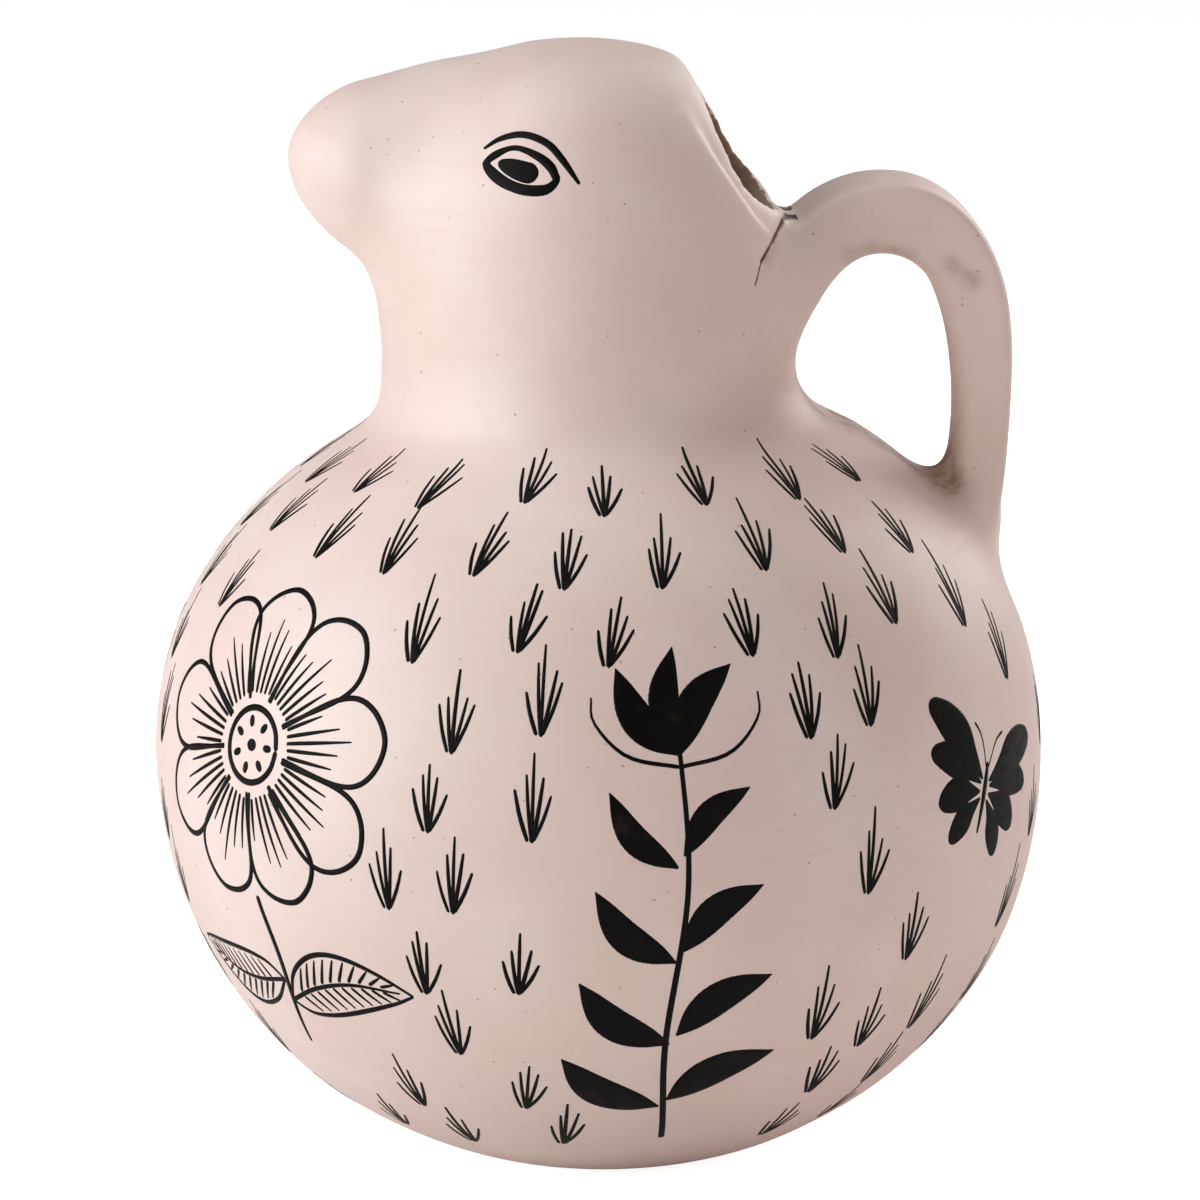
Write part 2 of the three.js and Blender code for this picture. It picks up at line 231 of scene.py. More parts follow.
class PaintSizes(bpy.types.PropertyGroup):
    """The brush work"""
    relief: length("Relief", "Height of the paint over the skin", 0.00006)
    tuft_height: length("Tuft height", "Of the tallest blade", 0.0182)
    tuft_spread: length("Tuft spread", "Between the tips of two blades", 0.0021)
    tuft_spacing: length("Tuft spacing", "Between two tufts of a row", 0.0225)
    row_spacing: length("Row spacing", "Between two rows of tufts", 0.0185)
    blade: length("Blade", "Breadth of a blade", 0.0009)
    crowding: length("Crowding", "Least distance between two tufts", 0.01485)
    bare_foot: length("Bare foot", "Ground without tufts round the handle's foot", 0.038)
    seed: IntProperty(name="Seed", description="Start of the brush's small chances", default=11)


class StudioSettings(bpy.types.PropertyGroup):
    """Camera, floor and light"""
    azimuth: angle("Azimuth", "Camera round the jug, from the front", -3)
    elevation: angle("Elevation", "Camera above the horizon", 12)
    distance: length("Distance", "Camera from its aim", 1.3)
    aim: length("Aim", "Height that the camera looks at", 0.1224)
    field: angle("Field", "The camera's angle of view", 11.85)
    shift: factor("Shift", "Sideways shift of the frame, as a share of its width", 0.00125)
    floor: colour("Floor", "Plain pale floor", 246, 244, 242)
    key: factor("Key", "Power of the large lamp at the left, in watts", 21.2)
    fill: factor("Fill", "Power of the lamp at the right, in watts", 4.2)
    top: factor("Top", "Power of the lamp overhead, in watts", 5.0)
    back: factor("Back", "Power of the lamp behind, in watts", 11.0)
    sky: factor("Sky", "Strength of the even light from all round", 0.11)
    glow: factor("Glow", "Light that the floor adds for the camera alone", 0.86)


class BirdJugSettings(bpy.types.PropertyGroup):
    """All settings of the jug"""
    vessel: PointerProperty(type=VesselSizes)
    beak: PointerProperty(type=BeakSizes)
    blends: PointerProperty(type=BlendSizes)
    mouth: PointerProperty(type=MouthSizes)
    handle: PointerProperty(type=HandleSizes)
    clay: PointerProperty(type=ClaySettings)
    colours: PointerProperty(type=FinishColours)
    paint: PointerProperty(type=PaintSizes)
    studio: PointerProperty(type=StudioSettings)


def formed(group):
    """A settings group as plain values, with its lengths in millimetres."""
    values = {}
    for prop in group.bl_rna.properties:
        if prop.type in {"FLOAT", "INT"}:
            value = getattr(group, prop.identifier)
            values[prop.identifier] = value * METRE if getattr(prop, "unit", "") == "LENGTH" else value
    return SimpleNamespace(**values)


def all_formed(settings, *groups):
    return [formed(getattr(settings, group)) for group in groups]


# Forms

FOOT_ROWS, BOWL_ROWS, DOME_ROWS, NECK_ROWS, HEAD_ROWS = 20, 90, 70, 40, 90  # of the vessel's profile


def shaped_ball(bm, around, along, place):
    """Adds a closed ball of quads and moves its points to place(turns, shares), from pole to pole."""
    ball = bmesh.new()
    bmesh.ops.create_uvsphere(ball, u_segments=around, v_segments=along, radius=1.0)
    turns = np.array([math.atan2(vert.co.y, vert.co.x) for vert in ball.verts])
    shares = np.array([math.acos(min(1.0, max(-1.0, -vert.co.z))) / math.pi for vert in ball.verts])
    for vert, point in zip(ball.verts, place(turns, shares)):
        vert.co = point
    bmesh.ops.recalc_face_normals(ball, faces=ball.faces)
    mesh = as_mesh(ball, "ball")
    bm.from_mesh(mesh)
    bpy.data.meshes.remove(mesh)


def bezier(start, pull_out, pull_in, end, steps):
    """Points along a cubic curve, the first one left out."""
    t = np.linspace(0.0, 1.0, steps + 1)[1:, None]
    points = [np.asarray(p, float) for p in (start, pull_out, pull_in, end)]
    weights = ((1 - t) ** 3, 3 * t * (1 - t) ** 2, 3 * t ** 2 * (1 - t), t ** 3)
    return sum(w * p for w, p in zip(weights, points))


def ramp(values, start, end):
    """0 before start, 1 after end, and smooth between them."""
    t = np.clip((values - start) / (end - start), 0.0, 1.0)
    return t * t * (3 - 2 * t)


def lengths_along(points):
    """How far each point of a line lies from its start."""
    return np.concatenate(([0.0], np.cumsum(np.linalg.norm(np.diff(points, axis=0), axis=1))))


def complement(share, power):
    """On a superellipse, one size as a share of its half size from the other one."""
    return (1 - share ** power) ** (1 / power)


def dome_facing(v, reach, radius, rise):
    """The way that the dome looks at some reach, as radius and height."""
    share, power = reach / radius, v.fullness - 1
    facing = np.array([share ** power / radius, complement(share, v.fullness) ** power / rise])
    return facing / np.linalg.norm(facing)


def vessel_rows(v, grow=0.0, floor=0.0):
    """The vessel from the foot's middle to the crown: rows of height and reach to front, back and side."""
    radius, rise = v.body_radius + grow, v.dome_rise + grow
    depth = v.equator / complement(v.foot_radius / v.body_radius, v.fullness) + grow
    turns = np.linspace(math.asin(((v.equator - floor) / depth) ** (v.fullness / 2)), 0.0, BOWL_ROWS)
    reach = radius * np.cos(turns) ** (2 / v.fullness)
    height = v.equator - depth * np.sin(turns) ** (2 / v.fullness)
    reach = np.concatenate((np.linspace(0.0, reach[0], FOOT_ROWS)[:-1], reach))
    height = np.concatenate((np.full(FOOT_ROWS - 1, height[0]), height))
    slack = v.foot_slack * (1 - (height / v.equator) ** 2) * np.minimum(1.0, reach / v.foot_radius)
    bowl = np.stack((height, reach - slack, reach, reach), axis=1)

    edge_share = v.shoulder_radius / v.body_radius
    edge_turn = math.asin(complement(edge_share, v.fullness) ** (v.fullness / 2))
    shares = np.linspace(0.0, 1.0, DOME_ROWS)[1:]
    reach = radius * np.cos(edge_turn * shares) ** (2 / v.fullness)
    height = v.equator + rise * np.sin(edge_turn * shares) ** (2 / v.fullness)
    lean = v.shoulder_lean * shares ** 2
    dome = np.stack((height, reach - lean, reach + lean, reach), axis=1)

    edge = np.array([reach[-1], height[-1]])
    out, up = dome_facing(v, edge[0], radius, rise)

    def neck(waist, lean, pull):
        start = edge + np.array([lean, 0.0])
        shoulder_pull = start + pull * np.array([-up, out])
        waist_pull = (waist + grow, v.waist - v.neck_bend_high)
        return bezier(start, shoulder_pull, waist_pull, (waist + grow, v.waist), NECK_ROWS)

    def head(waist, cheek, brow, crown):
        top = v.crown + grow
        cheek_pull, brow_pull = (cheek + grow, v.waist + v.cheek_rise), (brow + grow, top)
        return bezier((waist + grow, v.waist), cheek_pull, brow_pull, (crown, top), HEAD_ROWS)

    def joined(front, back, side):
        return np.stack((side[:, 1], front[:, 0], back[:, 0], side[:, 0]), axis=1)

    necks = [
        neck(v.neck_front, -v.shoulder_lean, v.neck_bend_low),
        neck(v.neck_back, v.shoulder_lean, v.neck_bend_back),
        neck(v.neck_side, 0.0, v.neck_bend_low),
    ]
    heads = [
        head(v.neck_front, v.cheek_front, v.brow_front, v.crown_forward),
        head(v.neck_back, v.cheek_back, v.brow_back, -v.crown_forward),
        head(v.neck_side, v.cheek_side, v.brow_side, 0.0),
    ]
    return np.concatenate((bowl, dome, joined(*necks), joined(*heads)))


def ring_points(heights, fronts, backs, sides, turns):
    """Points on level ellipses that have their own reach to front, back and side."""
    middle, half = (backs - fronts) / 2, (backs + fronts) / 2
    return np.stack((middle + half * np.cos(turns), sides * np.sin(turns), heights), axis=1)


def add_vessel(bm, v, grow, floor, around, along):
    """The vessel as a closed block, grown or shrunk all over."""
    rows = vessel_rows(v, grow, floor)
    lengths = lengths_along(rows[:, [0, 3]])

    def place(turns, shares):
        columns = [np.interp(shares * lengths[-1], lengths, column) for column in rows.T]
        return ring_points(*columns, turns)

    shaped_ball(bm, around, along, place)


def beak_axis(b):
    return Vector((-math.cos(b.tilt), 0.0, math.sin(b.tilt)))


def beak_middle(v, b):
    return Vector((-b.forward, 0.0, v.waist + b.rise))


def add_egg(bm, middle, tilt, reach, breadth, depth):
    """An egg that points to the front and is tilted up, as a closed block."""
    axis = np.array([-math.cos(tilt), 0.0, math.sin(tilt)])
    crosswise = np.cross(axis, ACROSS)

    def place(turns, shares):
        along, girth = -np.cos(math.pi * shares), np.sin(math.pi * shares)
        rise = np.outer(depth * girth * np.cos(turns), crosswise)
        side = np.outer(breadth * girth * np.sin(turns), ACROSS)
        return np.array(middle) + np.outer(reach * along, axis) + rise + side

    shaped_ball(bm, 96, 64, place)


def add_beak(bm, v, b, grow):
    """The beak's egg as a closed block."""
    add_egg(bm, beak_middle(v, b), b.tilt, b.reach + grow, b.breadth + grow, b.depth + grow)


def mouth_frame(v, m):
    """The cut's middle, the way it looks, and the way up along it."""
    middle = Vector((v.neck_back - m.inset, 0.0, v.waist + m.rise))
    outward = Vector((math.cos(m.tilt), 0.0, math.sin(m.tilt)))
    return middle, outward, Vector((-outward.z, 0.0, outward.x))


def add_bore(bm, v, m):
    """The oval opening as a plug that reaches from the hollow of the head out through the cut."""
    middle, outward, upward = (np.array(part) for part in mouth_frame(v, m))

    def place(turns, shares):
        depth = m.depth * (2 * shares - 1)
        across = np.outer(m.width / 2 * np.cos(turns), ACROSS)
        rise = np.outer(m.height / 2 * np.sin(turns) + m.lift, upward)
        return middle + across + rise + np.outer(depth, outward)

    shaped_ball(bm, 64, 20, place)


def strap_foot(v, h):
    """Where the strap's foot stands on the shoulder."""
    reach = v.body_radius - h.foot_inset
    return np.array([reach, 0.0, v.equator + v.dome_rise * complement(reach / v.body_radius, v.fullness)])


def strap_line(v, h):
    """The strap's middle line: out of the neck's back, over the arch and down to the shoulder."""
    def leaning(point, lean, pull):
        return point + pull * np.array([math.cos(lean), 0.0, math.sin(lean)])

    root = np.array([v.neck_back - h.root_depth, 0.0, v.waist + h.root_rise])
    arch = np.array([v.neck_back + h.arch_reach, 0.0, v.waist + h.arch_rise])
    foot = strap_foot(v, h) - (0.0, 0.0, v.wall / 2)
    root_pull, arch_pull_in = leaning(root, h.root_lean, h.root_pull), leaning(arch, math.pi, h.arch_pull_in)
    arch_pull_out, foot_pull = leaning(arch, 0.0, h.arch_pull_out), leaning(foot, h.foot_lean, h.foot_pull)
    rising = bezier(root, root_pull, arch_pull_in, arch, 60)
    falling = bezier(arch, arch_pull_out, foot_pull, foot, 90)
    return np.concatenate((root[None], rising, falling))


SLIM_SHARES = (0.1, 0.42)  # shares of the strap's length between which its thinner root ends


def add_strap(bm, v, h):
    """The strap as a closed block, with soft edges and sides that are drawn in."""
    line = strap_line(v, h)
    lengths = lengths_along(line)
    slopes = np.gradient(line, lengths, axis=0)

    def rounded(values):
        return np.sign(values) * np.abs(values) ** (2 / h.edge)

    def at(shares, values):
        return np.stack([np.interp(shares * lengths[-1], lengths, column) for column in values.T], axis=1)

    def place(turns, shares):
        slope = at(shares, slopes)
        outward = np.cross(slope / np.linalg.norm(slope, axis=1)[:, None], ACROSS)
        thinning = ramp(shares, h.taper_start, h.taper_end)
        thickness = h.root_thickness + (h.foot_thickness - h.root_thickness) * thinning
        slim = h.slim * (1 - ramp(shares, *SLIM_SHARES))
        side, face = rounded(np.cos(turns)), rounded(np.sin(turns))
        width = h.width + h.flare * (1 - ramp(shares, 0.0, h.flare_end))
        across = width / 2 * side * (1 - h.hollow * (1 - face ** 2))
        lift = (thickness - slim) / 2 * face + slim / 2
        return at(shares, line) + across[:, None] * ACROSS + lift[:, None] * outward

    shaped_ball(bm, 48, 110, place)


# Skin

SKIN, HOLLOW, SHELL = "clay_skin", "clay_hollow", "clay_shell"


def as_mesh(bm, name):
    mesh = bpy.data.meshes.new(name)
    bm.to_mesh(mesh)
    bm.free()
    return mesh


def after_modifier(mesh, kind, **settings):
    """A mesh as one modifier leaves it."""
    worker = bpy.data.objects.new("worker", mesh)
    bpy.context.scene.collection.objects.link(worker)
    modifier = worker.modifiers.new("work", kind)
    for name, value in settings.items():
        setattr(modifier, name, value)
    result = bpy.data.meshes.new_from_object(worker.evaluated_get(bpy.context.evaluated_depsgraph_get()))
    bpy.data.objects.remove(worker)
    return result


def without(mesh, tool):
    """One closed mesh with another cut out of it."""
    cutter = bpy.data.objects.new("cutter", tool)
    bpy.context.scene.collection.objects.link(cutter)
    result = after_modifier(mesh, "BOOLEAN", operation="DIFFERENCE", solver="MANIFOLD", object=cutter)
    bpy.data.objects.remove(cutter)
    return result


def remeshed(mesh, grain):
    """The outside of a heap of closed forms as one even skin."""
    return after_modifier(mesh, "REMESH", mode="VOXEL", voxel_size=grain, adaptivity=0.0)


def read(collection, name, width, kind=np.float64):
    values = np.empty(len(collection) * width, kind)
    collection.foreach_get(name, values)
    return values.reshape(-1, width) if width > 1 else values


def points_of(mesh):
    return read(mesh.vertices, "co", 3)


def set_points(mesh, points):
    mesh.vertices.foreach_set("co", np.asarray(points, np.float32).ravel())
    mesh.update()


FILL, BOTH, RUB = 1, 0, -1


def relax(mesh, weights, passes, side=BOTH, refresh=8):
    """Evens the skin as a wet thumb does, where it has weight: fills hollows, rubs off ridges, or both."""
    points = points_of(mesh)
    count = len(points)
    ends = read(mesh.edges, "vertices", 2, np.int32)
    first, second = ends[weights[ends].max(axis=1) > 0].T
    valence = np.maximum(1, np.bincount(first, minlength=count) + np.bincount(second, minlength=count))
    for step in range(passes):
        if side and step % refresh == 0:
            set_points(mesh, points)
            normals = read(mesh.vertex_normals, "vector", 3)
        around = [
            np.bincount(first, points[second, axis], count) + np.bincount(second, points[first, axis], count)
            for axis in range(3)
        ]
        moves = (np.stack(around, axis=1) / valence[:, None] - points) * (0.5 * weights)[:, None]
        if side:
            moves *= ((moves * normals).sum(axis=1) * side > 0)[:, None]
        points += moves
    set_points(mesh, points)


def distance_to_line(points, line):
    """How far each point lies from a line of straight stretches."""
    best = np.full(len(points), np.inf)
    for start, end in zip(line[:-1], line[1:]):
        run = np.asarray(end, float) - start
        share = np.clip((points - start) @ run / (run @ run), 0.0, 1.0)
        best = np.minimum(best, np.linalg.norm(points - (start + share[:, None] * run), axis=1))
    return best


CRACK = (
    # the open joint between lip and handle on the near side, in millimetres
    (43.0, 0.0, 212.0), (42.0, -9.0, 211.3), (40.2, -16.0, 209.6), (38.2, -21.1, 206.9), (34.9, -27.0, 203.0),
    (32.7, -29.8, 198.4),
)


def on_near_side(points):
    """Points of both sides of the jug, all laid on the near side."""
    return np.stack((points[:, 0], -np.abs(points[:, 1]), points[:, 2]), axis=1)


def crack_distance(points):
    """How far each point lies from the open joint between lip and handle, which runs down on both sides."""
    return distance_to_line(on_near_side(points), [np.array(point) for point in CRACK])


def clay_heap(v, b, m, h, e):
    """The large forms of the jug as one heap of closed blocks, with the mouth cut and bored."""
    middle, outward, _ = mouth_frame(v, m)
    bm = bmesh.new()
    add_vessel(bm, v, 0.0, 0.0, 192, 220)
    whole = [*bm.verts, *bm.edges, *bm.faces]
    cut = bmesh.ops.bisect_plane(bm, geom=whole, plane_co=middle, plane_no=outward, clear_outer=True)
    rim = [part for part in cut["geom_cut"] if isinstance(part, bmesh.types.BMEdge)]
    bmesh.ops.edgeloop_fill(bm, edges=rim)
    plug = bmesh.new()
    add_bore(plug, v, m)
    heap = bmesh.new()
    heap.from_mesh(without(as_mesh(bm, "vessel"), as_mesh(plug, "bore")))
    add_beak(heap, v, b, 0.0)
    ridge = (-e.ridge_forward, 0.0, v.waist + e.ridge_rise)
    add_egg(heap, ridge, e.ridge_tilt, e.ridge_reach, e.ridge_breadth, e.ridge_depth)
    bridge = (-e.bridge_forward, 0.0, v.waist + e.bridge_rise)
    add_egg(heap, bridge, 0.0, e.bridge_reach, e.bridge_breadth, e.bridge_depth)
    heel = (v.body_radius - e.heel_inset, 0.0, v.equator + e.heel_rise)
    add_egg(heap, heel, e.heel_tilt, e.heel_reach, e.heel_breadth, e.heel_depth)
    add_strap(heap, v, h)
    return as_mesh(heap, "heap")


STRAP_CORNER = (46.0, 0.0, 195.0)  # the middle of the strap's upper end, in millimetres
UNDER_STRAP = 44.5  # how far behind the axis the neck's back meets the strap's underside


def smooth_joints(skin, v, m, h):
    """Smooths the forms into each other, and returns how much each point belongs to the mouth's rim."""
    middle, outward, _ = mouth_frame(v, m)
    points = points_of(skin)
    x, y, z = points.T
    rise = z - v.waist
    crack = crack_distance(points)
    # Each joint's weight fades between distances in millimetres
    front = ramp(-x, 14.0, 26.0) * ramp(rise, -1.0, 9.0)
    upper_root = 1 - ramp(np.linalg.norm(points - STRAP_CORNER, axis=1), 18.0, 30.0)
    upper_root *= ramp(z, 164.0, 182.0) * ramp(crack, 2.5, 8.0)
    lower_root = 1 - ramp(np.linalg.norm(points - strap_foot(v, h), axis=1), 18.0, 32.0)
    brow = front * ramp(rise, 42.0, 54.0)
    cheek = front * ramp(rise, 12.0, 24.0) * (1 - ramp(-x, 46.0, 56.0))
    under_strap = (1 - ramp(np.hypot(x - UNDER_STRAP, rise), 4.0, 12.0)) * ramp(x, 36.0, 41.0)
    neck_foot = ramp(rise, -36.0, -28.0) * (1 - ramp(rise, -14.0, -6.0)) * (1 - ramp(x, 50.0, 60.0))
    rim = 1 - ramp(np.abs((points - np.array(middle)) @ np.array(outward)), 3.0, 6.0)
    rim *= ramp(x, 0.0, 8.0) * ramp(rise, 8.0, 16.0) * ramp(crack, 2.0, 5.0)
    rim_top = rim * ramp(z, v.crown - 22.0, v.crown - 8.0)
    sole = (1 - ramp(z, 2.0, 5.0)) * ramp(np.hypot(x, y), v.foot_radius - 8.0, v.foot_radius - 5.0)
    relax(skin, np.maximum(front, np.maximum(0.9 * upper_root, lower_root)), 200, FILL)
    relax(skin, np.maximum(front, lower_root), 120, FILL)
    relax(skin, brow, 40)
    relax(skin, cheek, 90)
    relax(skin, np.maximum(under_strap, neck_foot), 60)
    relax(skin, rim, 4, RUB)
    relax(skin, rim_top, 16, RUB)
    relax(skin, sole, 12, RUB)
    relax(skin, np.ones(len(points)), 2)
    return rim


def press_rim(skin, v, m, rim):
    """Presses in the near side of the mouth's rim and the open joint between lip and handle."""
    middle, outward, upward = (np.array(part) for part in mouth_frame(v, m))
    points = points_of(skin)
    along_cut = np.abs((points - middle) @ upward)
    dip = m.dip * rim * ramp(-points[:, 1], 4.0, 24.0) * (1 - ramp(along_cut, 6.0, 24.0))
    set_points(skin, points - np.outer(dip, outward))
    points, normals = points_of(skin), read(skin.vertex_normals, "vector", 3)
    furrow = m.furrow * np.exp(-(crack_distance(points) / m.furrow_reach) ** 2)
    furrow *= ramp(points[:, 2], 196.0, 206.0) * (1 - ramp(points[:, 0], 39.0, 42.5))
    set_points(skin, points - normals * furrow[:, None])


def leave_waves(skin, c):
    """Leaves the low waves of a hand on the skin, but none on the sole."""
    points, normals = points_of(skin), read(skin.vertex_normals, "vector", 3)
    lift = np.array([noise.fractal(Vector(point) / c.wave, 1.0, 2.0, 2) for point in points])
    lift *= c.unevenness * ramp(points[:, 2], 1.0, 12.0)
    set_points(skin, points + normals * lift[:, None])


def clay_skin(settings):
    """The outside of the jug as one closed skin, with its joints smoothed over."""
    v, b, m, h, e, c = all_formed(settings, "vessel", "beak", "mouth", "handle", "blends", "clay")
    skin = remeshed(clay_heap(v, b, m, h, e), c.grain)
    relax(skin, np.ones(len(skin.vertices)), 3)
    rim = smooth_joints(skin, v, m, h)
    press_rim(skin, v, m, rim)
    leave_waves(skin, c)
    return skin


def clay_hollow(settings):
    """The hollow of the jug as one closed skin."""
    v, b, c = all_formed(settings, "vessel", "beak", "clay")
    heap = bmesh.new()
    add_vessel(heap, v, -v.wall, v.floor, 128, 140)
    add_beak(heap, v, b, -v.wall)
    hollow = remeshed(as_mesh(heap, "hollow_heap"), c.inner_grain)
    relax(hollow, np.ones(len(hollow.vertices)), 4)
    return hollow


# Cutting the clay at its seams

PIECES = ("bowl", "shoulder", "neck", "head", "beak", "lip", "handle")
HANDLE_ROOT = Vector((45.5, 0.0, 196.0))  # where the strap's upper end is cut off, in millimetres
FOOT_RISE = 2.0  # how far above the shoulder the strap's lower end is cut off
JOINT_REACH = 30.0  # how far round the strap's ends a joint is drawn


def seam_planes(settings):
    """The joints as planes: a point of each and the way that it looks."""
    v, b, m, h = all_formed(settings, "vessel", "beak", "mouth", "handle")
    middle, outward, _ = mouth_frame(v, m)
    foot = Vector(strap_foot(v, h))
    out, up = dome_facing(v, foot.x, v.body_radius, v.dome_rise)
    foot_facing = Vector((out, 0.0, up))
    return {
        "handle_root": (HANDLE_ROOT, Vector((1.0, 0.0, 0.0))),
        "handle_foot": (foot + FOOT_RISE * foot_facing, foot_facing),
        "equator": (Vector((0.0, 0.0, v.equator)), UP),
        "shoulder": (Vector((0.0, 0.0, SHOULDER * METRE)), UP),
        "head": (Vector((0.0, 0.0, HEAD_SEAM * METRE)), UP),
        "beak": (beak_middle(v, b) + b.seam * beak_axis(b), beak_axis(b)),
        "lip": (middle - m.lip * outward, outward),
    }


def faces_near(bm, point, reach):
    return [face for face in bm.faces if (face.calc_center_median() - point).length < reach]


def cut_along(bm, faces, plane):
    """Draws a joint on some faces, without parting them, and returns its edges."""
    edges = list({edge for face in faces for edge in face.edges})
    verts = list({vert for face in faces for vert in face.verts})
    point, facing = plane
    cut = bmesh.ops.bisect_plane(bm, geom=verts + edges + faces, dist=1e-5, plane_co=point, plane_no=facing)
    return [part for part in cut["geom_cut"] if isinstance(part, bmesh.types.BMEdge)]


def grown_from(seed, fence):
    """All faces that can be reached from one without crossing the fence."""
    found, border = {seed}, [seed]
    while border:
        face = border.pop()
        for edge in face.edges:
            if edge in fence:
                continue
            for other in edge.link_faces:
                if other not in found:
                    found.add(other)
                    border.append(other)
    return found


def beyond(face, plane):
    return (face.calc_center_median() - plane[0]).dot(plane[1]) > 0


def clay_shell(settings, skin, hollow):
    """The hollow jug in one piece, with its joints drawn on it and its faces marked with their piece."""
    planes = seam_planes(settings)
    bm = bmesh.new()
    bm.from_mesh(without(skin, hollow))
    mark = bm.faces.layers.int.new("piece")
    root, foot = planes["handle_root"], planes["handle_foot"]
    near_root = [face for face in faces_near(bm, root[0], JOINT_REACH) if face.calc_center_median().x > 40]
    fence = set(cut_along(bm, near_root, root))
    fence.update(cut_along(bm, faces_near(bm, foot[0], JOINT_REACH), foot))
    centres = {face: face.calc_center_median() for face in bm.faces}
    arch = [face for face, centre in centres.items() if abs(centre.y) < 2 and centre.x > 55]
    for face in grown_from(max(arch, key=lambda face: centres[face].z), fence):
        face[mark] = PIECES.index("handle")

    def rest():
        return [face for face in bm.faces if face[mark] != PIECES.index("handle")]

    for name in ("equator", "shoulder", "head"):
        cut_along(bm, rest(), planes[name])
    head = planes["head"]
    for name in ("beak", "lip"):
        cut_along(bm, [face for face in rest() if beyond(face, head)], planes[name])
    for face in rest():
        if not beyond(face, planes["equator"]):
            piece = "bowl"
        elif not beyond(face, planes["shoulder"]):
            piece = "shoulder"
        elif not beyond(face, head):
            piece = "neck"
        elif beyond(face, planes["beak"]):
            piece = "beak"
        else:
            piece = "lip" if beyond(face, planes["lip"]) else "head"
        face[mark] = PIECES.index(piece)
    bm.normal_update()
    facing = bm.verts.layers.float_vector.new("clay_facing")
    for vert in bm.verts:
        vert[facing] = vert.normal
    return as_mesh(bm, SHELL)


BORE_START, BORE_SLACK = 1.2, 1.0  # bare clay begins so far behind the cut, and so far outside the bore


def inside_test(settings, hollow_tree):
    """A test for points on the hollow and on the wall of the mouth's opening, where the clay is bare."""
    v, m = all_formed(settings, "vessel", "mouth")
    middle, outward, upward = mouth_frame(v, m)

    def test(point):
        offset = point - middle
        depth, rise = offset.dot(outward), offset.dot(upward) - m.lift
        across, up = point.y / (m.width / 2 + BORE_SLACK), rise / (m.height / 2 + BORE_SLACK)
        in_bore = -m.depth < depth < -BORE_START and across ** 2 + up ** 2 < 1
        return in_bore or hollow_tree.find_nearest(point, 0.1)[0] is not None

    return test


SMUDGES_AND_SHADE = (
    # points along a smudge on the near side in millimetres, then its radius and strength; some paint shade
    # too
    # brown grime and painted shade on the shoulder under the handle's arch, where the neck shades it
    (((50, -4, 167), (61, 0, 160.5), (70, 0, 155.5), (77, 0, 151.5)), 15.0, 0.95),
    # brown grime and painted shade in the corner where the handle's foot meets the shoulder
    (((77.5, -11, 149.5), (77.5, 0, 152)), 8.0, 1.0),
    (((52, -13.4, 202), (60, -13.3, 203.5), (68, -12, 203)), 3.5, 0.55),
    (((77, -13.3, 200), (82, -13.5, 196)), 3.5, 0.45),
    # grime and painted shade beside the open joint between lip and handle
    (((41, -18, 209.5), (36, -25, 204)), 3.0, 0.45),
)


def stain_and_shade(mesh):
    """Marks where the skin is smudged and where shade is painted under the handle and along the open joint.
    """
    points = points_of(mesh)
    near_side = on_near_side(points)
    grime = np.zeros(len(points))
    for line, radius, strength in SMUDGES_AND_SHADE:
        reach = distance_to_line(near_side, [np.array(point, float) for point in line])
        grime = np.maximum(grime, strength * (1 - ramp(reach, 0.0, radius)))
    mesh.attributes.new("grime", "FLOAT", "POINT").data.foreach_set("value", grime.astype(np.float32))


def lies_on(vert, plane):
    return abs((vert.co - plane[0]).dot(plane[1])) < 1e-3


def clay_piece(name, piece, settings, shell, hollow_tree, materials):
    """One piece of the shell, closed at its joints, with the smooth facing that it had in the whole jug."""
    bm = bmesh.new()
    bm.from_mesh(shell)
    mark = bm.faces.layers.int["piece"]
    facing = bm.verts.layers.float_vector["clay_facing"]
    others = [face for face in bm.faces if face[mark] != PIECES.index(piece)]
    bmesh.ops.delete(bm, geom=others, context="FACES")
    is_inside = inside_test(settings, hollow_tree)
    for face in bm.faces:
        face.smooth = True
        face.material_index = 1 if is_inside(face.calc_center_median()) else 0
    planes = list(seam_planes(settings).values())
    rim = {vert for edge in bm.edges if edge.is_boundary for vert in edge.verts}
    for first, second in combinations(planes, 2):
        corners = [vert for vert in rim if lies_on(vert, first) and lies_on(vert, second)]
        if len(corners) == 2:
            bm.edges.new(corners)
    for plane in planes:
        open_edges = [edge for edge in bm.edges if len(edge.link_faces) < 2]
        joint = [edge for edge in open_edges if all(lies_on(vert, plane) for vert in edge.verts)]
        if joint:
            caps = bmesh.ops.triangle_fill(bm, use_beauty=True, edges=joint, normal=plane[1])["geom"]
            for face in (part for part in caps if isinstance(part, bmesh.types.BMFace)):
                face.smooth = False
                face.material_index = 1
    if any(len(edge.link_faces) != 2 for edge in bm.edges):
        raise RuntimeError(f"{name} isn't closed at its joints")
    bmesh.ops.recalc_face_normals(bm, faces=bm.faces)
    corners = []
    for face in bm.faces:
        corners += [(vert[facing] if face.smooth else face.normal).to_tuple() for vert in face.verts]
    mesh = as_mesh(bm, name)
    mesh.normals_split_custom_set(corners)
    for unused in ("piece", "clay_facing"):
        mesh.attributes.remove(mesh.attributes[unused])
    stain_and_shade(mesh)
    return finished(name, mesh, *materials)


def finished(name, mesh, *materials):
    """A formed mesh, in millimetres, as an object of the scene that rides on the jug."""
    mesh.transform(Matrix.Scale(1 / METRE, 4))
    for material in materials:
        mesh.materials.append(material)
    piece = bpy.data.objects.new(name, mesh)
    bpy.context.scene.collection.objects.link(piece)
    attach(piece, "root")
    return piece


# Brush work

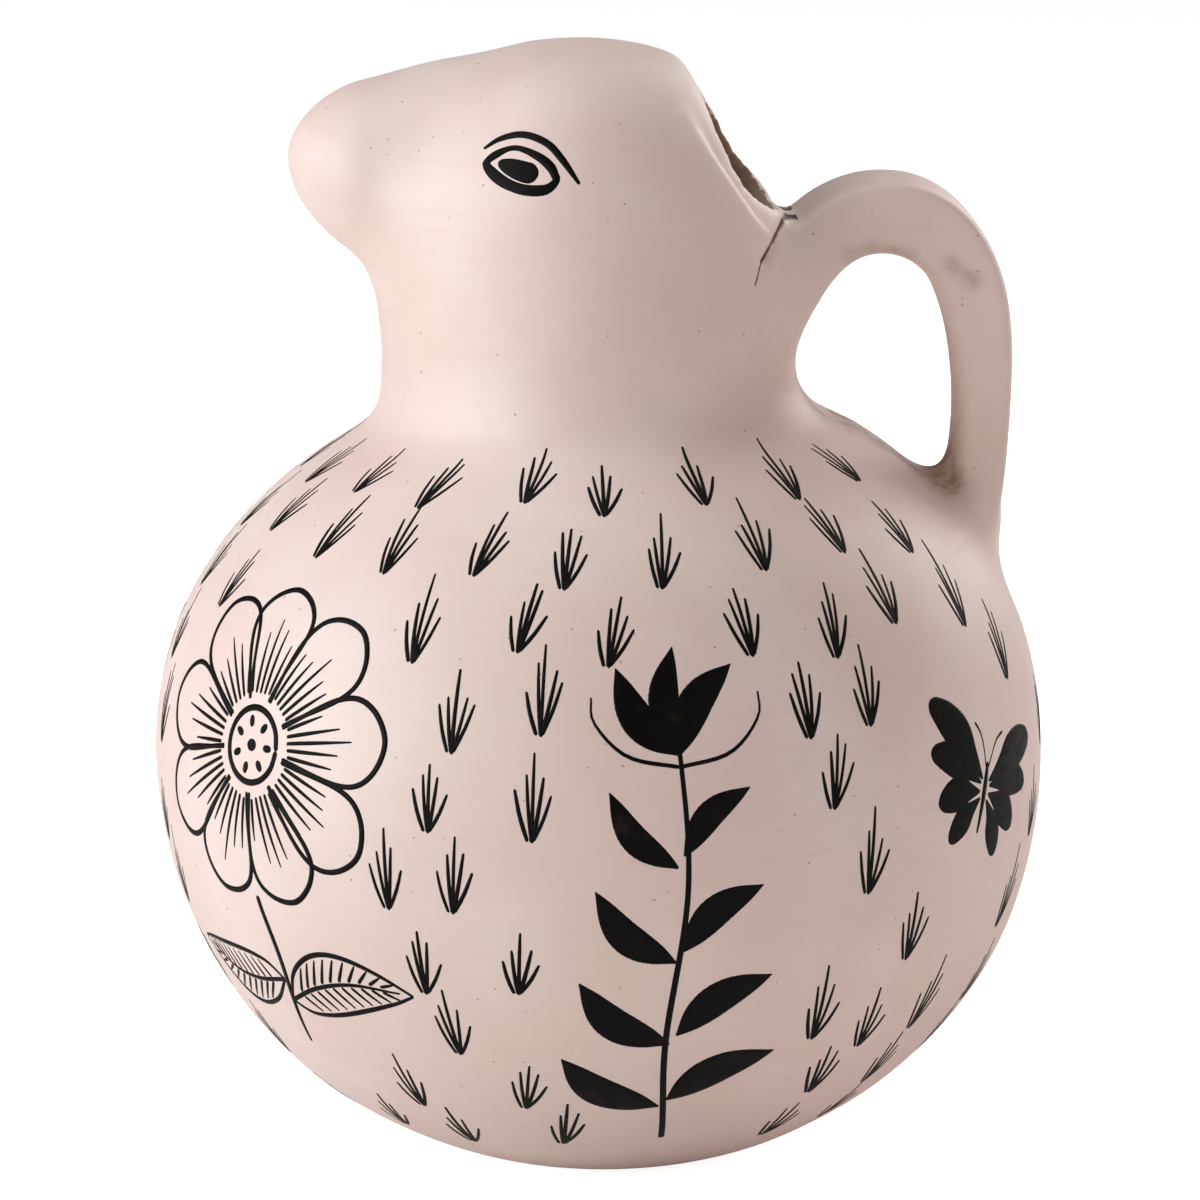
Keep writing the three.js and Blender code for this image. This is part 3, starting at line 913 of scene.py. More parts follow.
class Patch:
    """A sheet that is laid on the skin: it turns places on the sheet into points of the skin."""

    def __init__(self, skin_tree, heart, facing, radius, mirrored=False):
        self.skin_tree = skin_tree
        self.heart = Vector(heart)
        self.facing = Vector(facing).normalized()
        self.right = UP.cross(self.facing).normalized()
        self.upward = self.facing.cross(self.right)
        self.radius = radius
        self.flip = -1.0 if mirrored else 1.0

    def on_skin(self, u, v):
        reach = math.hypot(u, v)
        way = self.facing
        if reach > 1e-9:
            bend = reach / self.radius
            tangent = (self.right * u + self.upward * v) / reach
            way = self.facing * math.cos(bend) + tangent * math.sin(bend)
        point, normal, _, _ = self.skin_tree.ray_cast(self.heart, way)
        if point is None:
            raise RuntimeError("a brush stroke misses the skin")
        return point, normal if normal.dot(way) > 0 else -normal


def smooth_path(points, steps=10):
    """A soft line through a few points of a sheet."""
    p = np.asarray(points, float)
    if len(p) == 2:
        return np.linspace(p[0], p[1], steps + 1)
    padded = np.concatenate(([2 * p[0] - p[1]], p, [2 * p[-1] - p[-2]]))
    line = [p[0]]
    for before, start, end, after in zip(padded, padded[1:], padded[2:], padded[3:]):
        line.extend(bezier(start, start + (end - before) / 6, end - (after - start) / 6, end, steps))
    return np.array(line)


def stroke(bm, patch, points, breadths, relief):
    """One brush stroke: a thin bead of paint along a line of the sheet, with its breadths on the way."""
    line = smooth_path(points) * (patch.flip, 1.0)
    lengths = lengths_along(line)
    slopes = np.gradient(line, lengths, axis=0)
    halves = smooth_path(np.array(breadths)[:, None])[:, 0] / 2
    steps = np.linspace(0.0, lengths[-1], len(halves))
    broad = max(breadths)
    around = 12 if broad > 2.5 else 6
    along = max(8, math.ceil(lengths[-1] / (0.7 if broad > 1.2 else 1.4)))

    def rounding(reach, radius):
        return np.sqrt(1 - np.clip(1 - reach / radius, 0.0, 1.0) ** 2)

    def place(turns, shares):
        ends = np.sin(math.pi * shares) < 1e-3
        run = lengths[-1] * (1 - np.cos(math.pi * shares)) / 2
        u, v, du, dv = (np.interp(run, lengths, column) for column in (*line.T, *slopes.T))
        half = np.interp(run, steps, halves) * rounding(run, halves[0])
        half *= rounding(lengths[-1] - run, halves[-1])
        aside = np.where(ends, 0.0, half * np.cos(turns) / np.hypot(du, dv))
        spots = [patch.on_skin(*spot) for spot in zip(u - dv * aside, v + du * aside)]
        lifts = relief * np.where(ends, 0.0, np.sin(turns))
        return [point + normal * lift for (point, normal), lift in zip(spots, lifts)]

    shaped_ball(bm, around, along, place)


BLADE_TALLNESS = (1.0, 0.76, 0.55)  # shares of the tallest blade, from the middle outwards
BLADE_BREADTHS = (0.9, 1.1, 1.05, 0.95, 0.65)  # shares of a blade's breadth, from root to tip


def tuft(bm, patch, p, chance):
    """Five blades of grass from one root, the middle one the tallest."""
    height = p.tuft_height * chance.uniform(0.86, 1.08)
    sway = chance.uniform(-2.2, 2.2)
    for blade in (-2, -1, 0, 1, 2):
        tall = height * BLADE_TALLNESS[abs(blade)] * chance.uniform(0.88, 1.12)
        lean = 0.8 + 0.9 * blade * p.tuft_spread + sway * tall / height
        tip = (lean + chance.uniform(-0.4, 0.4), tall)
        start = (-0.9, 0.3) if blade == -2 else (0.12 * blade, 0.2 * abs(blade))
        belly = (0.5 * (start[0] + tip[0]) + 0.12 * blade, 0.5 * tall)
        broad = p.blade * chance.uniform(0.88, 1.12)
        stroke(bm, patch, (start, belly, tip), [share * broad for share in BLADE_BREADTHS], p.relief)


def body_patch(skin_tree, v, turn, lift):
    """A sheet on the body, turned from the front to the handle and lifted from the equator, in degrees."""
    turn, lift = math.radians(turn), math.radians(lift)
    facing = (math.sin(turn) * math.cos(lift), -math.cos(turn) * math.cos(lift), math.sin(lift))
    return Patch(skin_tree, (0.0, 0.0, v.equator), facing, v.body_radius * 0.97)


def turned(u, v, way):
    """A place on a sheet, turned about its middle."""
    return u * math.cos(way) - v * math.sin(way), u * math.sin(way) + v * math.cos(way)


def petal_outline(reach_in, reach_out, half, way):
    """The outline of one petal of a round flower, from its root round the tip and back."""
    belly, brow = 0.55 * (reach_in + reach_out), 0.9 * reach_out
    shape = ((reach_in, -0.35), (belly, -1.0), (brow, -0.8), (reach_out, 0.0),
             (brow, 0.8), (belly, 1.0), (reach_in, 0.35))
    return [turned(reach, half * side, way) for reach, side in shape]


def rosette(bm, patch, relief, reach, chance):
    """A round flower with outlined, hatched petals and a dark eye, on a stem with two hatched leaves."""
    petals = 9
    core = 0.26 * reach
    half = 0.92 * reach * math.sin(math.pi / petals) * 0.8
    for k in range(petals):
        way = 2 * math.pi * k / petals + 0.2 + chance.uniform(-0.04, 0.04)
        tip = reach * chance.uniform(0.95, 1.04)
        stroke(bm, patch, petal_outline(core, tip, half, way), (1.0, 1.3, 1.5, 1.4, 1.0), relief)
        for hatch in (-0.62, -0.31, 0.0, 0.31, 0.62):
            side = hatch * half
            near, far = 1.15 * core, tip * (0.8 - 0.3 * abs(hatch)) * chance.uniform(0.9, 1.05)
            ends = [turned(near, 0.5 * side, way), turned(far, side, way)]
            stroke(bm, patch, ends, (0.9, 1.0, 0.8, 0.4), relief)
    ring = [turned(0.84 * core, 0.0, way) for way in np.linspace(0, 2 * math.pi, 13)]
    stroke(bm, patch, ring, (1.5, 1.7, 1.5), relief)
    seeds = 7
    for k in range(seeds):
        way = 2 * math.pi * k / seeds
        ends = [turned(share * core, 0.0, way) for share in (0.4, 0.68)]
        stroke(bm, patch, ends, (1.4, 1.9, 1.2), relief)
    stroke(bm, patch, ((-0.16 * core, 0.0), (0.16 * core, 0.0)), (2.2, 2.6, 2.2), relief)
    stem = ((1.0, -0.9 * reach), (4.0, -1.35 * reach), (1.0, -1.95 * reach))
    stroke(bm, patch, stem, (1.5, 1.7, 1.5, 1.0), relief)
    hatched_leaf(bm, patch, relief, (3.0, -1.6 * reach), (1.12 * reach, -1.38 * reach), 0.42 * reach)
    hatched_leaf(bm, patch, relief, (3.0, -1.45 * reach), (-0.95 * reach, -1.4 * reach), 0.4 * reach)


def hatched_leaf(bm, patch, relief, root, tip, broad):
    """An outlined leaf with a midrib and slanted hatching."""
    run, root = np.subtract(tip, root), np.array(root)
    aside = np.array([-run[1], run[0]]) / np.hypot(*run)

    def spot(along, across):
        bend = 0.1 * np.hypot(*run) * math.sin(math.pi * along)
        return root + along * run + (bend + across * broad / 2) * aside

    def edge(along):
        return math.sin(math.pi * along ** 0.8) ** 0.85

    for side in (-1, 1):
        rim = [spot(t, side * edge(t) if 0 < t < 1 else 0.0) for t in np.linspace(0, 1, 9)]
        stroke(bm, patch, rim, (0.9, 1.4, 1.4, 0.8), relief)
        for t in np.linspace(0.14, 0.8, 10):
            ends = (spot(t, 0.08 * side), spot(t + 0.1, side * 0.86 * edge(t + 0.1)))
            stroke(bm, patch, ends, (1.0, 0.9, 0.5), relief)
    stroke(bm, patch, [spot(t, 0.0) for t in (0.0, 0.3, 0.6, 0.92)], (1.3, 1.2, 0.6), relief)


def leaf(bm, patch, relief, root, tip, broad):
    """A solid black leaf that bends a little to its tip."""
    run = np.subtract(tip, root)
    belly = np.add(root, 0.5 * run) + 0.12 * np.array([-run[1], run[0]])
    stroke(bm, patch, (root, belly, tip), (0.5, 0.7 * broad, broad, 0.95 * broad, 0.6 * broad, 0.2), relief)


def sprig(bm, patch, relief, tall):
    """An upright stem with pairs of solid leaves and an open bud at its top."""
    stem = [(2.0, -0.5 * tall), (-1.5, -0.2 * tall), (1.5, 0.1 * tall), (0.0, 0.34 * tall)]
    stroke(bm, patch, stem, (1.7, 1.6, 1.4, 1.1), relief)
    for k in range(4):
        low = tall * (-0.38 + 0.17 * k)
        shrink = 1 - 0.12 * k
        for side in (-1, 1):
            start = (0.6 * side, low + (0.02 * tall if side > 0 else 0.0))
            tip = (side * 0.19 * tall * shrink, low + 0.13 * tall)
            leaf(bm, patch, relief, start, tip, 0.075 * tall * shrink)
    top = 0.32 * tall
    for side in (-1, 1):
        leaf(bm, patch, relief, (0.0, top), (side * 0.105 * tall, top + 0.15 * tall), 0.06 * tall)
        curl = [(side * out * tall, top + rise * tall)
                for out, rise in ((0.0, -0.02), (0.09, 0.0), (0.145, 0.055), (0.15, 0.1))]
        stroke(bm, patch, curl, (1.0, 1.0, 0.8, 0.5), relief)
    leaf(bm, patch, relief, (0.0, top), (0.0, top + 0.185 * tall), 0.055 * tall)


WING_LOBES = (
    # tip and root as shares of the span, to the side and up, then the lobe's breadth
    ((0.5, 0.34), (0.03, 0.04), 0.2),
    ((0.47, 0.1), (0.04, 0.02), 0.17),
    ((0.36, -0.14), (0.04, -0.02), 0.17),
    ((0.22, -0.3), (0.03, -0.05), 0.14),
)
FEELER = ((0.01, 0.1), (0.07, 0.24), (0.14, 0.3))


def butterfly(bm, patch, relief, span, tilt):
    """A small black butterfly with bare slits in its wings."""
    for side in (-1, 1):
        def spots(shares):
            return [turned(side * span * u, span * v, tilt) for u, v in shares]

        for tip, root, share in WING_LOBES:
            broad = share * span
            belly = (0.6 * tip[0], 0.62 * tip[1] + 0.03)
            breadths = (0.6, 0.5 * broad, broad, 0.9 * broad, 0.4 * broad)
            stroke(bm, patch, spots((root, belly, tip)), breadths, relief)
        stroke(bm, patch, spots(FEELER), (0.5, 0.5, 0.8), relief)
    body = [turned(0.0, span * v, tilt) for v in (-0.22, -0.05, 0.13)]
    stroke(bm, patch, body, (0.8, 1.6, 2.0, 1.2), relief)


MOTIFS = (
    # kind, turn and lift in degrees, size in millimetres
    ("rosette", -52.0, 10.0, 36.0),
    ("sprig", 7.0, -10.0, 122.0),
    ("butterfly", 54.0, 3.0, 44.0),
    ("rosette", 118.0, 6.0, 36.0),
    ("sprig", 178.0, -10.0, 122.0),
    ("butterfly", 226.0, 3.0, 44.0),
    ("sprig", 262.0, -10.0, 112.0),
)
BUTTERFLY_TILT = math.radians(-20)
ROOMS = {
    # free room round each kind, as shares of its size: middle to the right and up, half width, half height
    "rosette": ((0.0, 0.0, 1.06, 1.06), (0.0, -1.5, 0.95, 0.42)),
    "sprig": ((0.0, 0.0, 0.22, 0.54), (0.0, 0.36, 0.2, 0.12)),
    "butterfly": ((0.0, 0.06, 0.58, 0.58),),
}


ROOM_MARGIN = 3.0  # added to each room's half width, in millimetres
FAR_SIDE = 1.5  # a motif this far round the body is on another side, in radians


def free_of_motifs(tuft_patch, v, tall):
    """True where a tuft of some height keeps clear of the larger motifs."""
    for kind, turn, lift, size in MOTIFS:
        patch = body_patch(None, v, turn, lift)
        bend = tuft_patch.facing.angle(patch.facing)
        spread = patch.radius * bend / max(1e-6, math.sin(bend))
        u = spread * tuft_patch.facing.dot(patch.right)
        w = spread * tuft_patch.facing.dot(patch.upward) + tall / 2
        for middle_u, middle_w, half_u, half_w in ROOMS[kind]:
            aside = (u - middle_u * size) / (half_u * size + ROOM_MARGIN)
            above = (w - middle_w * size) / (half_w * size + 0.4 * tall)
            if bend < FAR_SIDE and aside ** 2 + above ** 2 < 1:
                return False
    return True


HEAD_HEART, EYE_MIDDLE = Vector((-6.0, 0.0, 215.5)), (-18.9, 39.0, 226.2)  # in millimetres
# Lines of the eye in millimetres, to the right and up from its middle
EYE_UPPER_LID = ((-9.1, -0.2), (-6.6, 2.1), (-1.9, 3.9), (3.3, 2.3), (6.8, -0.2), (8.4, -3.3))
EYE_LOWER_LID = ((-8.9, 0.7), (-6.8, -1.6), (-3.0, -4.0), (1.6, -5.3), (6.1, -5.0), (8.3, -2.8), (7.7, -1.2))
EYE_PUPIL = ((-5.4, 0.6), (-2.1, -0.5), (1.4, -1.5), (4.3, -1.9))
EYE_BROW = ((-9.6, 3.7), (-5.6, 6.1), (-0.2, 7.0), (5.4, 5.1), (9.1, 1.6), (13.1, -3.5))


def eye(bm, patch, relief):
    """One almond eye with its brow."""
    stroke(bm, patch, EYE_UPPER_LID, (1.6, 2.2, 1.5, 1.6, 2.1, 2.4, 1.6), relief)
    stroke(bm, patch, EYE_LOWER_LID, (1.6, 2.5, 2.6, 2.4, 2.4, 2.4, 1.8, 1.0), relief)
    stroke(bm, patch, EYE_PUPIL, (1.4, 3.2, 4.2, 4.6, 4.6, 4.0), relief)
    stroke(bm, patch, EYE_BROW, (0.8, 1.7, 1.9, 1.9, 1.7, 0.8), relief)


# Finishes

def new_node(tree, kind, inputs=None, **settings):
    """A shader node with some settings, and its inputs set to values or linked to other nodes' outputs."""
    node = tree.nodes.new(kind)
    for name, value in settings.items():
        setattr(node, name, value)
    for name, value in (inputs or {}).items():
        if isinstance(value, bpy.types.NodeSocket):
            tree.links.new(value, node.inputs[name])
        else:
            node.inputs[name].default_value = value
    return node


def maths(tree, operation, first, second=0.0, third=0.0):
    return new_node(tree, "ShaderNodeMath", {0: first, 1: second, 2: third}, operation=operation).outputs[0]


def vector_maths(tree, operation, first, second):
    return new_node(tree, "ShaderNodeVectorMath", {0: first, 1: second}, operation=operation).outputs


def stepped(tree, value, start, end, low=0.0, high=1.0):
    """A value mapped smoothly from one range to another."""
    inputs = {"Value": value, "From Min": start, "From Max": end, "To Min": low, "To Max": high}
    return new_node(tree, "ShaderNodeMapRange", inputs, interpolation_type="SMOOTHSTEP").outputs["Result"]


def mixed(tree, share, first, second):
    """A colour between two colours."""
    node = new_node(tree, "ShaderNodeMix", data_type="RGBA")
    for index, value in ((0, share), (6, first), (7, second)):
        if isinstance(value, bpy.types.NodeSocket):
            tree.links.new(value, node.inputs[index])
        else:
            node.inputs[index].default_value = value if index == 0 else (*value, 1.0)
    return node.outputs[2]


def cloud(tree, place, scale, detail=3.0, roughness=0.5):
    inputs = {"Vector": place, "Scale": scale, "Detail": detail, "Roughness": roughness}
    return new_node(tree, "ShaderNodeTexNoise", inputs).outputs["Fac"]


def clay_marks_group():
    """Marks that any burnished clay shows: clouds, rubbing streaks, pits and a fine grain."""
    name = "Clay marks"
    if name in bpy.data.node_groups:
        return bpy.data.node_groups[name]
    tree = bpy.data.node_groups.new(name, "ShaderNodeTree")
    for name, default in (("Streak length", 26.0), ("Streak fineness", 420.0), ("Pits", 0.5)):
        socket = tree.interface.new_socket(name, in_out="INPUT", socket_type="NodeSocketFloat")
        socket.default_value = default
    for name in ("Pink", "Beige", "Mottle", "Streak", "Pit", "Grain"):
        tree.interface.new_socket(name, in_out="OUTPUT", socket_type="NodeSocketFloat")
    entry = tree.nodes.new("NodeGroupInput")
    place = tree.nodes.new("ShaderNodeTexCoord").outputs["Object"]
    shifted = vector_maths(tree, "ADD", place, (0.31, 0.17, 0.23))[0]
    level, fine = entry.outputs["Streak length"], entry.outputs["Streak fineness"]
    stretch = new_node(tree, "ShaderNodeCombineXYZ", {"X": level, "Y": level, "Z": fine})
    drawn = vector_maths(tree, "MULTIPLY", place, stretch.outputs[0])[0]
    cells = new_node(tree, "ShaderNodeTexVoronoi", {"Vector": place, "Scale": 300.0, "Randomness": 1.0})
    chance = new_node(tree, "ShaderNodeSeparateColor", {0: cells.outputs["Color"]})
    width = stepped(tree, chance.outputs[0], entry.outputs["Pits"], 1.0, 0.0, 0.09)
    pit = maths(tree, "LESS_THAN", cells.outputs["Distance"], width)
    marks = {
        "Pink": stepped(tree, cloud(tree, place, 17.0, 4.0), 0.36, 0.66),
        "Beige": stepped(tree, cloud(tree, shifted, 12.0, 4.0), 0.45, 0.7),
        "Mottle": cloud(tree, shifted, 150.0, 5.0, 0.6),
        "Streak": cloud(tree, drawn, 1.0, 3.0, 0.6),
        "Pit": pit,
        "Grain": cloud(tree, place, 1500.0, 3.0, 0.6),
    }
    leave = tree.nodes.new("NodeGroupOutput")
    for socket, value in marks.items():
        tree.links.new(value, leave.inputs[socket])
    return tree


HAIRLINES = (
    # the open joint from its notch down the neck's side: start, end and half breadth in millimetres
    ((22.5, 210.0), (12.1, 210.4), 0.3),
    ((12.1, 210.4), (9.1, 209.1), 0.8),
    ((9.1, 209.1), (5.6, 207.0), 0.75),
    ((5.6, 207.0), (-0.8, 203.0), 0.45),
    ((-0.8, 203.0), (-4.3, 198.4), 0.2),
)
NECK_SIDE = (0.6, 0.8)  # the level way along the neck's side at the joint, to the back and to the near side
HAIRLINE_END = (0.0432, 0.0445)  # how far behind the axis the joint's line fades out, in metres


def line_reach_group():
    """How far a point lies from a piece of a straight line."""
    name = "Line reach"
    if name in bpy.data.node_groups:
        return bpy.data.node_groups[name]
    tree = bpy.data.node_groups.new(name, "ShaderNodeTree")
    for socket in ("Place", "Start", "End"):
        tree.interface.new_socket(socket, in_out="INPUT", socket_type="NodeSocketVector")
    tree.interface.new_socket("Reach", in_out="OUTPUT", socket_type="NodeSocketFloat")
    entry = tree.nodes.new("NodeGroupInput").outputs
    run = vector_maths(tree, "SUBTRACT", entry["End"], entry["Start"])[0]
    offset = vector_maths(tree, "SUBTRACT", entry["Place"], entry["Start"])[0]
    gone = vector_maths(tree, "DOT_PRODUCT", offset, run)["Value"]
    share = maths(tree, "DIVIDE", gone, vector_maths(tree, "DOT_PRODUCT", run, run)["Value"])
    share = new_node(tree, "ShaderNodeClamp", {"Value": share}).outputs[0]
    nearest = new_node(tree, "ShaderNodeVectorMath", {0: run, "Scale": share}, operation="SCALE").outputs[0]
    leave = tree.nodes.new("NodeGroupOutput")
    tree.links.new(vector_maths(tree, "DISTANCE", offset, nearest)["Value"], leave.inputs["Reach"])
    return tree


def hairline_reach(tree):
    """How many half breadths a point lies from the joint's thin end, seen square to the neck's side."""
    coordinates = tree.nodes.new("ShaderNodeTexCoord").outputs["Object"]
    place = new_node(tree, "ShaderNodeSeparateXYZ", {0: coordinates}).outputs
    across = maths(tree, "MULTIPLY", maths(tree, "ABSOLUTE", place["Y"]), -NECK_SIDE[1])
    across = maths(tree, "MULTIPLY_ADD", place["X"], NECK_SIDE[0], across)
    flat = new_node(tree, "ShaderNodeCombineXYZ", {"X": across, "Z": place["Z"]}).outputs[0]
    nearest = None
    for start, end, half in HAIRLINES:
        line = tree.nodes.new("ShaderNodeGroup")
        line.node_tree = line_reach_group()
        tree.links.new(flat, line.inputs["Place"])
        line.inputs["Start"].default_value = (start[0] / METRE, 0.0, start[1] / METRE)
        line.inputs["End"].default_value = (end[0] / METRE, 0.0, end[1] / METRE)
        reach = maths(tree, "DIVIDE", line.outputs["Reach"], half / METRE)
        nearest = maths(tree, "MINIMUM", nearest, reach) if nearest else reach
    return maths(tree, "ADD", nearest, stepped(tree, place["X"], *HAIRLINE_END, 0.0, 9.0))


def new_material(name, roughness):
    material = bpy.data.materials.new(name)
    material.use_nodes = True
    tree = material.node_tree
    shader = tree.nodes["Principled BSDF"]
    shader.inputs["Roughness"].default_value = roughness
    return material, tree, shader


def placed_marks(tree, **values):
    marks = tree.nodes.new("ShaderNodeGroup")
    marks.node_tree = clay_marks_group()
    for name, value in values.items():
        marks.inputs[name.replace("_", " ").capitalize()].default_value = value
    return marks.outputs


def bumped(tree, shader, height, strength, distance):
    bump = new_node(tree, "ShaderNodeBump", {"Height": height, "Strength": strength, "Distance": distance})
    tree.links.new(bump.outputs["Normal"], shader.inputs["Normal"])


def cream_slip(settings):
    """Burnished cream slip with pink and beige clouds, rubbing streaks, pits, and brown smudges that also
    paint shade.
    """
    name = "Burnished cream slip"
    if name in bpy.data.materials:
        return bpy.data.materials[name]
    c = settings.colours
    material, tree, shader = new_material(name, 0.5)
    shader.inputs["Specular IOR Level"].default_value = 0.75
    marks = placed_marks(tree)
    tone = mixed(tree, maths(tree, "MULTIPLY", marks["Pink"], 0.8), c.cream, c.blush)
    tone = mixed(tree, maths(tree, "MULTIPLY", marks["Beige"], 0.6), tone, c.sand)
    tone = mixed(tree, stepped(tree, marks["Mottle"], 0.5, 0.85, 0.0, 0.35), tone, c.sand)
    tone = mixed(tree, stepped(tree, marks["Streak"], 0.5, 0.85, 0.0, 0.45), tone, c.blush)
    tone = mixed(tree, maths(tree, "MULTIPLY", marks["Pit"], 0.55), tone, c.speck)
    # the grime mark darkens the slip to brown, as real smudges and as painted shade under the handle
    grime = new_node(tree, "ShaderNodeAttribute", attribute_name="grime").outputs["Fac"]
    patchy = stepped(tree, marks["Mottle"], 0.42, 0.62, 0.45, 1.0)
    tone = mixed(tree, maths(tree, "MULTIPLY", grime, patchy), tone, c.grime)
    frayed = maths(tree, "MULTIPLY_ADD", marks["Mottle"], 0.9, hairline_reach(tree))
    tone = mixed(tree, stepped(tree, frayed, 0.9, 2.2, 1.0, 0.0), tone, c.rust)
    tree.links.new(tone, shader.inputs["Base Color"])
    rough = stepped(tree, marks["Streak"], 0.2, 0.8, 0.42, 0.54)
    tree.links.new(maths(tree, "MULTIPLY_ADD", marks["Mottle"], 0.1, rough), shader.inputs["Roughness"])
    height = maths(tree, "MULTIPLY_ADD", marks["Grain"], 0.25, maths(tree, "MULTIPLY", marks["Streak"], 0.5))
    height = maths(tree, "SUBTRACT", height, maths(tree, "MULTIPLY", marks["Pit"], 0.8))
    bumped(tree, shader, height, 0.35, 0.0002)
    return material


def bare_clay(settings):
    """Unslipped clay, rough and stained."""
    name = "Bare clay"
    if name in bpy.data.materials:
        return bpy.data.materials[name]
    c = settings.colours
    material, tree, shader = new_material(name, 0.9)
    marks = placed_marks(tree, pits=0.2)
    tone = mixed(tree, marks["Pink"], c.clay, c.grime)
    tone = mixed(tree, stepped(tree, marks["Mottle"], 0.4, 0.8, 0.0, 0.7), tone, c.speck)
    tree.links.new(tone, shader.inputs["Base Color"])
    bumped(tree, shader, maths(tree, "MULTIPLY_ADD", marks["Grain"], 0.5, marks["Mottle"]), 0.6, 0.0006)
    return material


def black_slip(settings):
    """Black slip from a full brush, satin, with thinner drags in it."""
    name = "Black slip"
    if name in bpy.data.materials:
        return bpy.data.materials[name]
    c = settings.colours
    material, tree, shader = new_material(name, 0.5)
    shader.inputs["Specular IOR Level"].default_value = 0.1
    marks = placed_marks(tree, streak_length=160.0)
    tone = mixed(tree, stepped(tree, marks["Mottle"], 0.55, 0.9, 0.0, 0.16), c.black, c.speck)
    tree.links.new(tone, shader.inputs["Base Color"])
    tree.links.new(stepped(tree, marks["Streak"], 0.2, 0.8, 0.42, 0.58), shader.inputs["Roughness"])
    bumped(tree, shader, marks["Grain"], 0.15, 0.0001)
    return material


# Operators

def tree_of(name):
    """The faces of a formed mesh, ready to be searched by rays and distances."""
    bm = bmesh.new()
    bm.from_mesh(bpy.data.meshes[name])
    tree = BVHTree.FromBMesh(bm)
    bm.free()
    return tree


class JUG_OT_form_clay(bpy.types.Operator):
    """Forms the jug from soft clay: one skin with its joints smoothed over, its hollow and its seams"""
    bl_idname = "jug.form_clay"
    bl_label = "Form the clay"

    def execute(self, context):
        settings = context.scene.bird_jug
        skin, hollow = clay_skin(settings), clay_hollow(settings)
        skin.name, hollow.name = SKIN, HOLLOW
        clay_shell(settings, skin, hollow)
        return {"FINISHED"}


class ClayPieces:
    """What the operators share that cut pieces from the formed clay"""
    bl_options = {"UNDO"}
    pieces = ()

    def execute(self, context):
        settings = context.scene.bird_jug
        shell, hollow_tree = bpy.data.meshes[SHELL], tree_of(HOLLOW)
        materials = (cream_slip(settings), bare_clay(settings))
        for name, piece, nodes in self.pieces:
            made = clay_piece(name, piece, settings, shell, hollow_tree, materials)
            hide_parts(*nodes)
        return {"FINISHED"}


class JUG_OT_body(ClayPieces, bpy.types.Operator):
    """Cuts the two halves of the round body"""
    bl_idname = "jug.body"
    bl_label = "Body halves"
    pieces = (
        ("body_bowl", "bowl", ("base_bowl",)),
        ("body_shoulder", "shoulder", ("shoulder_dome",)),
    )


class JUG_OT_head(ClayPieces, bpy.types.Operator):
    """Cuts the neck, the head, the beak and the lip of the mouth"""
    bl_idname = "jug.head"
    bl_label = "Neck and head"
    pieces = (
        ("neck", "neck", ("neck_collar",)),
        ("bird_head", "head", ("head_shell",)),
        ("bird_beak", "beak", ("beak",)),
        ("lip", "lip", ("mouth_lip",)),
    )


class JUG_OT_handle(ClayPieces, bpy.types.Operator):
    """Cuts the strap handle with the clay that is smeared round its ends"""
    bl_idname = "jug.handle"
    bl_label = "Handle"
    pieces = (("handle", "handle", ("handle_strap", "handle_upper_lute", "handle_foot_lute")),)


STRIP_RING = 3.0  # radius of the raw ring, in half breadths of its section


def seam_strip(v, c, level, name):
    """A flat ring of clay on the wall inside, at some height."""
    bm = bmesh.new()
    section = bmesh.ops.create_circle(bm, segments=20, radius=1.0)["verts"]
    for vert in section:
        vert.co = (STRIP_RING + vert.co.x, 0.0, vert.co.y)
    edges = list({edge for vert in section for edge in vert.link_edges})
    bmesh.ops.spin(
        bm, geom=section + edges, cent=(0, 0, 0), axis=UP, angle=2 * math.pi, steps=120, use_merge=True,
    )
    bmesh.ops.remove_doubles(bm, verts=bm.verts, dist=1e-4)
    spots = np.array([vert.co for vert in bm.verts])
    turns = np.arctan2(spots[:, 1], spots[:, 0])
    levels = level * METRE + c.strip_width / 2 * spots[:, 2]
    walls = []
    for gap in (c.slip_film, c.slip_film + c.strip_thickness):
        rows = vessel_rows(v, -v.wall - gap, v.floor)[FOOT_ROWS - 1:]
        reaches = [np.interp(levels, rows[:, 0], rows[:, k]) for k in (1, 2, 3)]
        walls.append(ring_points(levels, *reaches, turns))
    inward = 0.5 - 0.5 * (np.hypot(spots[:, 0], spots[:, 1]) - STRIP_RING)
    for vert, point in zip(bm.verts, walls[0] + inward[:, None] * (walls[1] - walls[0])):
        vert.co = point
    bmesh.ops.recalc_face_normals(bm, faces=bm.faces)
    for face in bm.faces:
        face.smooth = True
    return as_mesh(bm, name)


class JUG_OT_seam_strips(bpy.types.Operator):
    """Presses the three strips of clay over the seams inside"""
    bl_idname = "jug.seam_strips"
    bl_label = "Seam strips"
    strips = (
        ("body_strip", "body_seam_strip", EQUATOR),
        ("neck_strip", "neck_seam_strip", SHOULDER),
        ("head_strip", "head_seam_strip", HEAD_SEAM),
    )

    def execute(self, context):
        settings = context.scene.bird_jug
        v, c = all_formed(settings, "vessel", "clay")
        for name, node, level in self.strips:
            strip = finished(name, seam_strip(v, c, level, name), bare_clay(settings))
            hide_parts(node)
        return {"FINISHED"}


def painted(name, bm, settings):
    """Brush work as one piece in black slip."""
    for face in bm.faces:
        face.smooth = True
    piece = finished(name, as_mesh(bm, name), black_slip(settings))
    return piece


